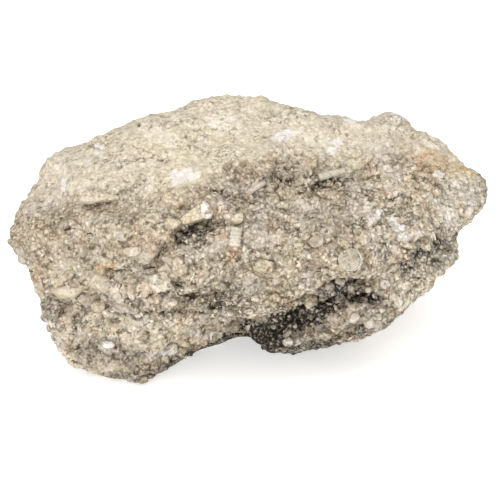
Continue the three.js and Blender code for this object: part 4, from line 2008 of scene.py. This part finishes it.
BLOCKS = table(
    Inclusion,
    (-14.8, 5.3, 8.8, 4.4, 4.6, 1.3, 0.9, 4, 25, 0.85, -14, 0.9, 0.25),
    (-21.3, 3.1, 4.8, 3.2, 3, 0.9, 0.8, 1, 26, 0.75, -10, 0.8),
    (-31.7, -4.4, 5.4, 3.2, 2.4, 0.4, 0.75, 2, 2, 0.8, -10),
    (3.7, -8.8, 5.8, 4.6, 2.8, 0.4, 0.8, 3, 12, 0.8),
    (26, -2.6, 3.6, 2.4, 2, 0.5, 0.8, 1, -8),
    (-3.1, 4.4, 3.9, 3.5, 2.6, 1, 0.9, 2, 20, 0.7, 0, 0.7),
    (-40.6, 10, 9.8, 3.4, 3, 0.4, 0.75, 4, 186, 0.6, 14, 0.3),
    (-43.4, 9.8, 3.8, 2, 2.4, 1.2, 0.95, 1, 0, 0.6, 0, 0.8, 0.5),
    (-19.2, -8.3, 4.6, 5, 3.2, 0.6, 0.75, 1),
    (-40.7, -19.2, 4.4, 4.2, 3.4, 0.6, 0.75, 2, 10),
    (-34.4, -19.4, 6.8, 3.4, 2.6, 0.5, 0.65, 3, -14, 0.7, -14),
    (-25.2, -21.6, 4.6, 3.4, 2.6, 0.5, 0.7, 0, 10, 0.7, -8),
    (-33.6, -27.4, 4.4, 3.2, 2.8, 0.6, 0.75, 1),
    (-24.4, -29.4, 5.4, 3.6, 2.8, 0.5, 0.7, 2, 14, 0.7, -8),
    (24.4, -12.7, 2.6, 2.5, 2.4, 0.9, 0.95, 3),
    (6.7, -16.7, 3.4, 3, 2.4, 0.6, 0.95),
    (-8.6, -13.6, 4, 3, 2.6, 0.3, 0.6, 1, 10),
    (13.4, -3.2, 3.2, 3, 2.4, 0.4, 0.65, 2),
    (8.8, 7.8, 3.6, 2.6, 2.2, 0.4, 0.7, 3, 10),
)
CHIPS = table(
    Inclusion,
    (-12.2, 6.6, 4.4, 4.6, 3.6, 2.1, 0.7, 1, 24, 0.75, -10),
    (40, 2.4, 2.4, 1.6, 0.9, 0.2, 0.9, 3, -30, 0.6),
    (41.8, -0.2, 1.8, 2.2, 0.9, 0.2, 0.9, 0, 0, 0.6),
    (34.9, 6.2, 1.6, 1.9, 0.9, 0.3, 1, 1, 0, 0.6),
    (-38.4, -29.8, 3.2, 2.2, 1.1, 0.3, 1, 2, 0, 0.6),
)

FOSSIL_KINDS = {
    Fossil.STEM_PLATE: FossilKind(SEA_LILY, 14, 2.0, 5.2, (1.0, 0.4), True, STEM_PLATES),
    Fossil.STEM: FossilKind(SEA_LILY, 12, 0.9, 1.9, (2.6, 0.95), True, STEMS),
    Fossil.SHELL: FossilKind(SHELL, 34, 2.4, 5.6, (0.6, 0.26), False, SHELLS),
    Fossil.PEBBLE: FossilKind(CRUSTED_LUMP, 40, 2.2, 5.0, (0.9, 0.7), True, PEBBLES),
    Fossil.BLOCK: FossilKind(BLOCK_STONE, 22, 2.4, 6.0, (0.7, 0.55), True, BLOCKS),
    Fossil.CHIP: FossilKind(CHALK, 20, 0.9, 2.4, (0.8, 0.4), False, CHIPS),
}


# Shares of the stone's marks that fossils take: painted shade, chalk, rust, and dust with painted top
# light.
FOSSIL_STAINS_AND_PAINTED_LIGHT = {"painted_shade": 0.45, "chalk": 0.6, "rust": 0.7, "dust_and_top_light": 0.6}
PLATE_SIZES = (
    (0.06, 0.14, 0.3), (0.1, 0.1, 0.2), (0.3, 0.3, 0.55), (0.18, 0.14, 0.35), (0.02, 0.25, 0.05)
)


@dataclass
class FossilSetter:
    """Sets stem plates, stems, shell bits, pebbles, broken blocks and chalk chips in the stone.

    Attributes:
        setting: where they may go.
        shapes: how many shapes the scattered ones of each kind have.
    """

    setting: Setting
    shapes: int = 4

    def build(self, kind: Fossil) -> bpy.types.Object:
        """Makes all fossils of one kind.

        Args:
            kind: which.

        Returns:
            The new object, joined.
        """
        facts = FOSSIL_KINDS[kind]
        patterns = self._patterns(kind)
        lists: list[list[tuple]] = [[] for _ in patterns]
        known = zip(facts.known, self._known_spots(facts.known), strict=True)
        for thing, spot in (*known, *self._scattered(facts)):
            lists[thing.shape].append(self._held(thing, spot, kind))
        names = ("tone", *FOSSIL_STAINS_AND_PAINTED_LIGHT, "clean")
        groups = []
        for pattern, rows in zip(patterns, lists, strict=True):
            if not rows:
                continue
            origins, frames, *marks = (np.array(column) for column in zip(*rows, strict=True))
            groups.append(Copies(pattern, origins, frames, dict(zip(names, marks, strict=True))))
        return join_copies(kind.value, groups, facts.smooth)

    def claim_known(self) -> None:
        """Keeps the known places of all kinds clear of what is left to chance."""
        for facts in FOSSIL_KINDS.values():
            for thing, spot in zip(facts.known, self._known_spots(facts.known), strict=True):
                lean = math.radians(thing.turn_deg)
                along = np.array([math.cos(lean), math.sin(lean)])
                long, short = thing.wide, thing.tall
                if short > long:
                    long, short = short, long
                    along = np.array([-along[1], along[0]])
                reach = (long - short) / 2
                for step in np.linspace(-reach, reach, 1 + math.ceil(reach / 0.8)):
                    x, y = along * step
                    point = spot.points[0] + x * np.array([1, 0, 0]) + y * self.setting.viewer.up
                    self.setting.claim(point[None], np.array([0.38 * short]))

    def _known_spots(self, things: tuple[Inclusion, ...]) -> list[Spots]:
        """Where the known ones are."""
        spots = self.setting.meet(tuple((thing.across, thing.up) for thing in things))
        return [spots.take([i]) for i in range(len(spots))]

    def _scattered(self, facts: FossilKind) -> list[tuple[Inclusion, Spots]]:
        """Leaves the places and sizes of some to chance, behind the stone.

        Args:
            facts: their kind.

        Returns:
            Each of them with its place.
        """
        rng = self.setting.rng
        spots = self.setting.scatter(12 * facts.scattered)
        clear = (spots.points[:, 2] > 2.5) & (spots.marks["painted_shade"] < 0.5)
        clear &= spots.marks["calm"] < 0.35
        clear &= spots.normals @ self.setting.viewer.towards < -0.45
        spots = spots.take(np.flatnonzero(clear))
        widths = chance_sizes(rng, facts, len(spots), 1.8)
        picked = self.setting.spread(spots, widths * 0.42, 1.2, facts.scattered)
        tall, thick = facts.form
        made = []
        for i in picked:
            width = widths[i]
            thing = Inclusion(
                across=0,
                up=0,
                wide=width,
                tall=width * tall * rng.uniform(0.8, 1.2),
                thick=width * thick * rng.uniform(0.8, 1.2),
                turn_deg=rng.uniform(0, 360),
                facing=0,
                nod_deg=rng.normal(0, 12),
                proud=width * thick * rng.uniform(-0.4, 0.0),
                tone=rng.uniform(0.25, 0.75),
                shape=int(rng.integers(self.shapes)),
            )
            made.append((thing, spots.take([i])))
        return made

    def _held(self, thing: Inclusion, spot: Spots, kind: Fossil) -> tuple:
        """Puts one fossil in place and stains it, with the stone's painted shade and top light.

        Args:
            thing: the fossil.
            spot: its place on the surface.
            kind: what it is.

        Returns:
            Its middle, its three axes, mm, and its tone, painted shade, chalk, rust, dust and top
            light, and cleanness.
        """
        way = unit(spot.normals * (1 - thing.facing) + self.setting.viewer.towards * thing.facing)
        (x, y, z), = turned_frames(way, np.array([math.radians(thing.turn_deg)]))
        nod = math.radians(thing.nod_deg)
        y, z = y * math.cos(nod) + z * math.sin(nod), z * math.cos(nod) - y * math.sin(nod)
        halves = np.array([thing.wide, thing.tall, thing.thick])[:, None] / 2
        axes = np.array([x, y, z]) * halves
        if kind is Fossil.STEM:
            axes = axes[[2, 0, 1]]
        shares = FOSSIL_STAINS_AND_PAINTED_LIGHT.items()
        painted_shade, chalk, rust, dust_and_top_light = (share * float(spot.marks[name][0]) for name, share in shares)
        marks = (thing.tone, painted_shade, max(thing.chalk, chalk), rust, dust_and_top_light, thing.clean)
        return (spot.points[0] + way[0] * thing.proud, axes, *marks)

    def _patterns(self, kind: Fossil) -> list[Pattern]:
        """Makes the shapes of one kind. The last of the blocks is a wedge.

        Args:
            kind: which.

        Returns:
            The shapes, in the order of their numbers.
        """
        rng = np.random.default_rng(SEED + len(kind.value))
        if kind is Fossil.STEM_PLATE:
            return [self._stem_plate(*sizes) for sizes in PLATE_SIZES]
        if kind is Fossil.STEM:
            return [self._stem(rings, rng) for rings in (5, 0, 7, 4)]
        if kind is Fossil.SHELL:
            return [self._shell(corners, rng) for corners in (9, 5, 7, 4)]
        if kind is Fossil.CHIP:
            return [Pattern.lump(rng, 42, 6, 0.03) for _ in range(self.shapes)]
        breaks = 7 if kind is Fossil.BLOCK else 12
        lumps = [Pattern.lump(rng, 120, breaks, 0.06) for _ in range(self.shapes)]
        if kind is Fossil.BLOCK:
            wedge = Pattern.lump(rng, 120, 1, 0.04)
            squared = np.sign(wedge.points) * np.abs(wedge.points) ** 0.55
            squared[:, 1:] *= 0.78 + 0.3 * squared[:, :1]
            lumps.append(wedge.bent(squared - wedge.points))
        return lumps

    @staticmethod
    def _stem_plate(hole: float, rim: float, dish: float) -> Pattern:
        """A round plate of a sea-lily's stem, with a raised rim and a hole in its middle.

        Args:
            hole: radius of the hole.
            rim: width of the rim.
            dish: how deep the face is below the rim.

        Returns:
            The shape, with fine ridges from the rim inwards.
        """
        profile = (
            (0.0, 0.1 - dish), (hole * 0.7, 0.12 - dish), (hole, 0.9 - dish),
            (hole * 1.5, 1.02 - dish), (0.5 * (1 - rim) + 0.15, 0.98 - dish),
            (0.96 - rim, 1.0 - 0.6 * dish), (1.0 - 0.6 * rim, 1.0), (0.97, 0.94), (1.02, 0.7),
            (1.0, 0.3), (1.03, 0.0), (0.95, -0.9), (0.0, -1.0),
        )
        plate = Pattern.turned(profile, 48)
        out = np.linalg.norm(plate.points[:, :2], axis=1)
        ridged = ((out > 0.5) & (out < 0.98) & (plate.points[:, 2] > 0.4)).astype(float)
        turn = np.arctan2(plate.points[:, 1], plate.points[:, 0])
        change = np.zeros_like(plate.points)
        change[:, 2] = 0.06 * ridged * np.cos(24 * turn)
        return plate.bent(change)

    @staticmethod
    def _stem(rings: int, rng: Chance) -> Pattern:
        """A piece of stem or spine on its side.

        Args:
            rings: how many plates it is made of, 0 for a plain spine.
            rng: roughens it.

        Returns:
            The shape.
        """
        steps = 5 * rings + 1 if rings else 14
        heights = np.linspace(0.94, -0.94, steps)
        if rings:
            swell = 0.86 + 0.14 * np.abs(np.sin(np.linspace(0, rings * math.pi, steps))) ** 0.6
        else:
            swell = np.linspace(0.78, 1.0, steps) + rng.uniform(-0.05, 0.05, steps)
        body = tuple(zip(swell, heights, strict=True))
        ends = ((0.0, 1.0), (0.55, 0.98)), ((0.6, -0.98), (0.0, -1.0))
        stem = Pattern.turned((*ends[0], *body, *ends[1]), 20, on_its_side=True)
        change = rng.uniform(-0.03, 0.03, stem.points.shape) * (1, 1, 0.3)
        return stem.bent(change)

    @staticmethod
    def _shell(corners: int, rng: Chance) -> Pattern:
        """A broken bit of shell: a thin, bowed plate with an angular outline.

        Args:
            corners: how many breaks its outline has.
            rng: places the breaks.

        Returns:
            The shape, with growth lines.
        """
        profile = (
            (0.0, 0.9), (0.25, 0.88), (0.5, 0.78), (0.72, 0.6), (0.88, 0.38), (0.97, 0.15),
            (1.0, -0.1), (0.96, -0.35), (0.7, -0.3), (0.0, -0.25),
        )
        bit = Pattern.turned(profile, 32)
        turn = np.arctan2(bit.points[:, 1], bit.points[:, 0])
        out = np.linalg.norm(bit.points[:, :2], axis=1)
        breaks = (np.arange(corners) + rng.uniform(-0.3, 0.3, corners)) * 2 * math.pi / corners
        reaches = rng.uniform(0.72, 0.98, corners)
        facing = np.maximum(np.cos(turn[:, None] - breaks), 0.05)
        outline = np.minimum((reaches / facing).min(axis=1), 1.2)
        change = bit.points * (outline - 1)[:, None] * (1, 1, 0)
        lines = 0.05 * np.sin(16 * out) + 0.04 * np.cos(12 * turn) * out
        change[:, 2] = lines * (bit.points[:, 2] > 0)
        return bit.bent(change)


# ---- floor, light and camera


@dataclass
class Studio:
    """A pale floor, soft light from above and the camera.

    Attributes:
        viewer: where the camera stands.
        field_mm: how much is seen from side to side at the lump's middle.
        aim_below: how far below the lump's middle the camera aims, mm.
        sensor: width of the camera's sensor, mm.
        lamps: name, place and size in metres, and watts of each. One is large and above, one in
            front.
        room_colour: the colour of the light from all around.
        room_light: its strength.
        floor_glow: how much the floor shines by itself, so that it stays nearly white.
    """

    viewer: Viewer
    field_mm: float = 136.1
    aim_below: float = 0.95
    sensor: float = 36.0
    lamps: tuple[tuple, ...] = (
        ("key", (-0.15, -0.2, 1.0), 1.7, 11.0), ("front", (-0.3, -1.4, 0.45), 1.0, 12.1)
    )
    room_colour: Colour = (0.97, 0.98, 1.0, 1)
    room_light: float = 0.58
    floor_glow: float = 0.45

    def build(self) -> None:
        """Makes everything."""
        self._floor()
        self._lights()
        self._camera()
        bpy.context.scene.view_settings.view_transform = "Standard"

    def _floor(self) -> None:
        """A wide, plain, nearly white floor."""
        bm = bmesh.new()
        bmesh.ops.create_grid(bm, x_segments=8, y_segments=8, size=3.0)
        mesh = bpy.data.meshes.new("floor")
        bm.to_mesh(mesh)
        bm.free()
        floor = bpy.data.objects.new("floor", mesh)
        bpy.context.collection.objects.link(floor)
        material = bpy.data.materials.new("floor_paper")
        material.use_nodes = True
        graph = Graph(material.node_tree)
        shader = material.node_tree.nodes["Principled BSDF"]
        weave = graph.noise(graph.place(), 30.0, 3.0)
        pale = graph.ramp(weave, [(0.3, (0.86, 0.86, 0.86, 1)), (0.7, (0.9, 0.9, 0.9, 1))])
        graph.feed(shader.inputs["Base Color"], pale)
        shader.inputs["Roughness"].default_value = 0.9
        shader.inputs["Specular IOR Level"].default_value = 0.1
        shader.inputs["Emission Color"].default_value = (1.0, 1.0, 1.0, 1)
        shader.inputs["Emission Strength"].default_value = self.floor_glow
        mesh.materials.append(material)

    def _lights(self) -> None:
        """The lamps, which point at the lump, and a pale room."""
        for name, place, size, watts in self.lamps:
            light = bpy.data.lights.new(name, "AREA")
            light.size = size
            light.energy = watts
            lamp = bpy.data.objects.new(name, light)
            lamp.location = place
            aim = Vector(self.viewer.centre * MM) - Vector(place)
            lamp.rotation_euler = aim.to_track_quat("-Z", "Y").to_euler()
            bpy.context.collection.objects.link(lamp)
        world = bpy.data.worlds.new("room")
        world.use_nodes = True
        room = world.node_tree.nodes["Background"].inputs
        room["Color"].default_value = self.room_colour
        room["Strength"].default_value = self.room_light
        bpy.context.scene.world = world

    def _camera(self) -> None:
        """A camera with a long lens at the viewer's place."""
        data = bpy.data.cameras.new("camera")
        data.sensor_width = self.sensor
        data.lens = self.sensor * self.viewer.distance / self.field_mm
        camera = bpy.data.objects.new("camera", data)
        camera.location = (self.viewer.eye - self.aim_below * self.viewer.up) * MM
        camera.rotation_euler = Vector(-self.viewer.towards).to_track_quat("-Z", "Y").to_euler()
        bpy.context.collection.objects.link(camera)
        bpy.context.scene.camera = camera


# ---- the whole


def main() -> None:
    logging.basicConfig(level=logging.INFO, format="%(name)s: %(message)s")
    low, high = (np.array(corner) / MM for corner in CAD_BOX)
    viewer = Viewer((low + high) / 2)
    noise = Noise(SEED)
    effects = Effects()

    body = StoneBody(viewer, noise)
    stone = body.build()
    finish_piece(stone, BODY_STONE.material(effects))
    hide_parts(NODE)

    setting = Setting(body, SEED)
    setter = FossilSetter(setting)
    setter.claim_known()
    for kind in Fossil:
        finish_piece(setter.build(kind), FOSSIL_KINDS[kind].finish.material(effects))
    cover = GrainCover(setting, noise)
    for size in GrainSize:
        finish_piece(cover.build(size), GRAIN_KINDS[size].finish.material(effects))

    Studio(viewer).build()


if __name__ == "__main__":
    main()
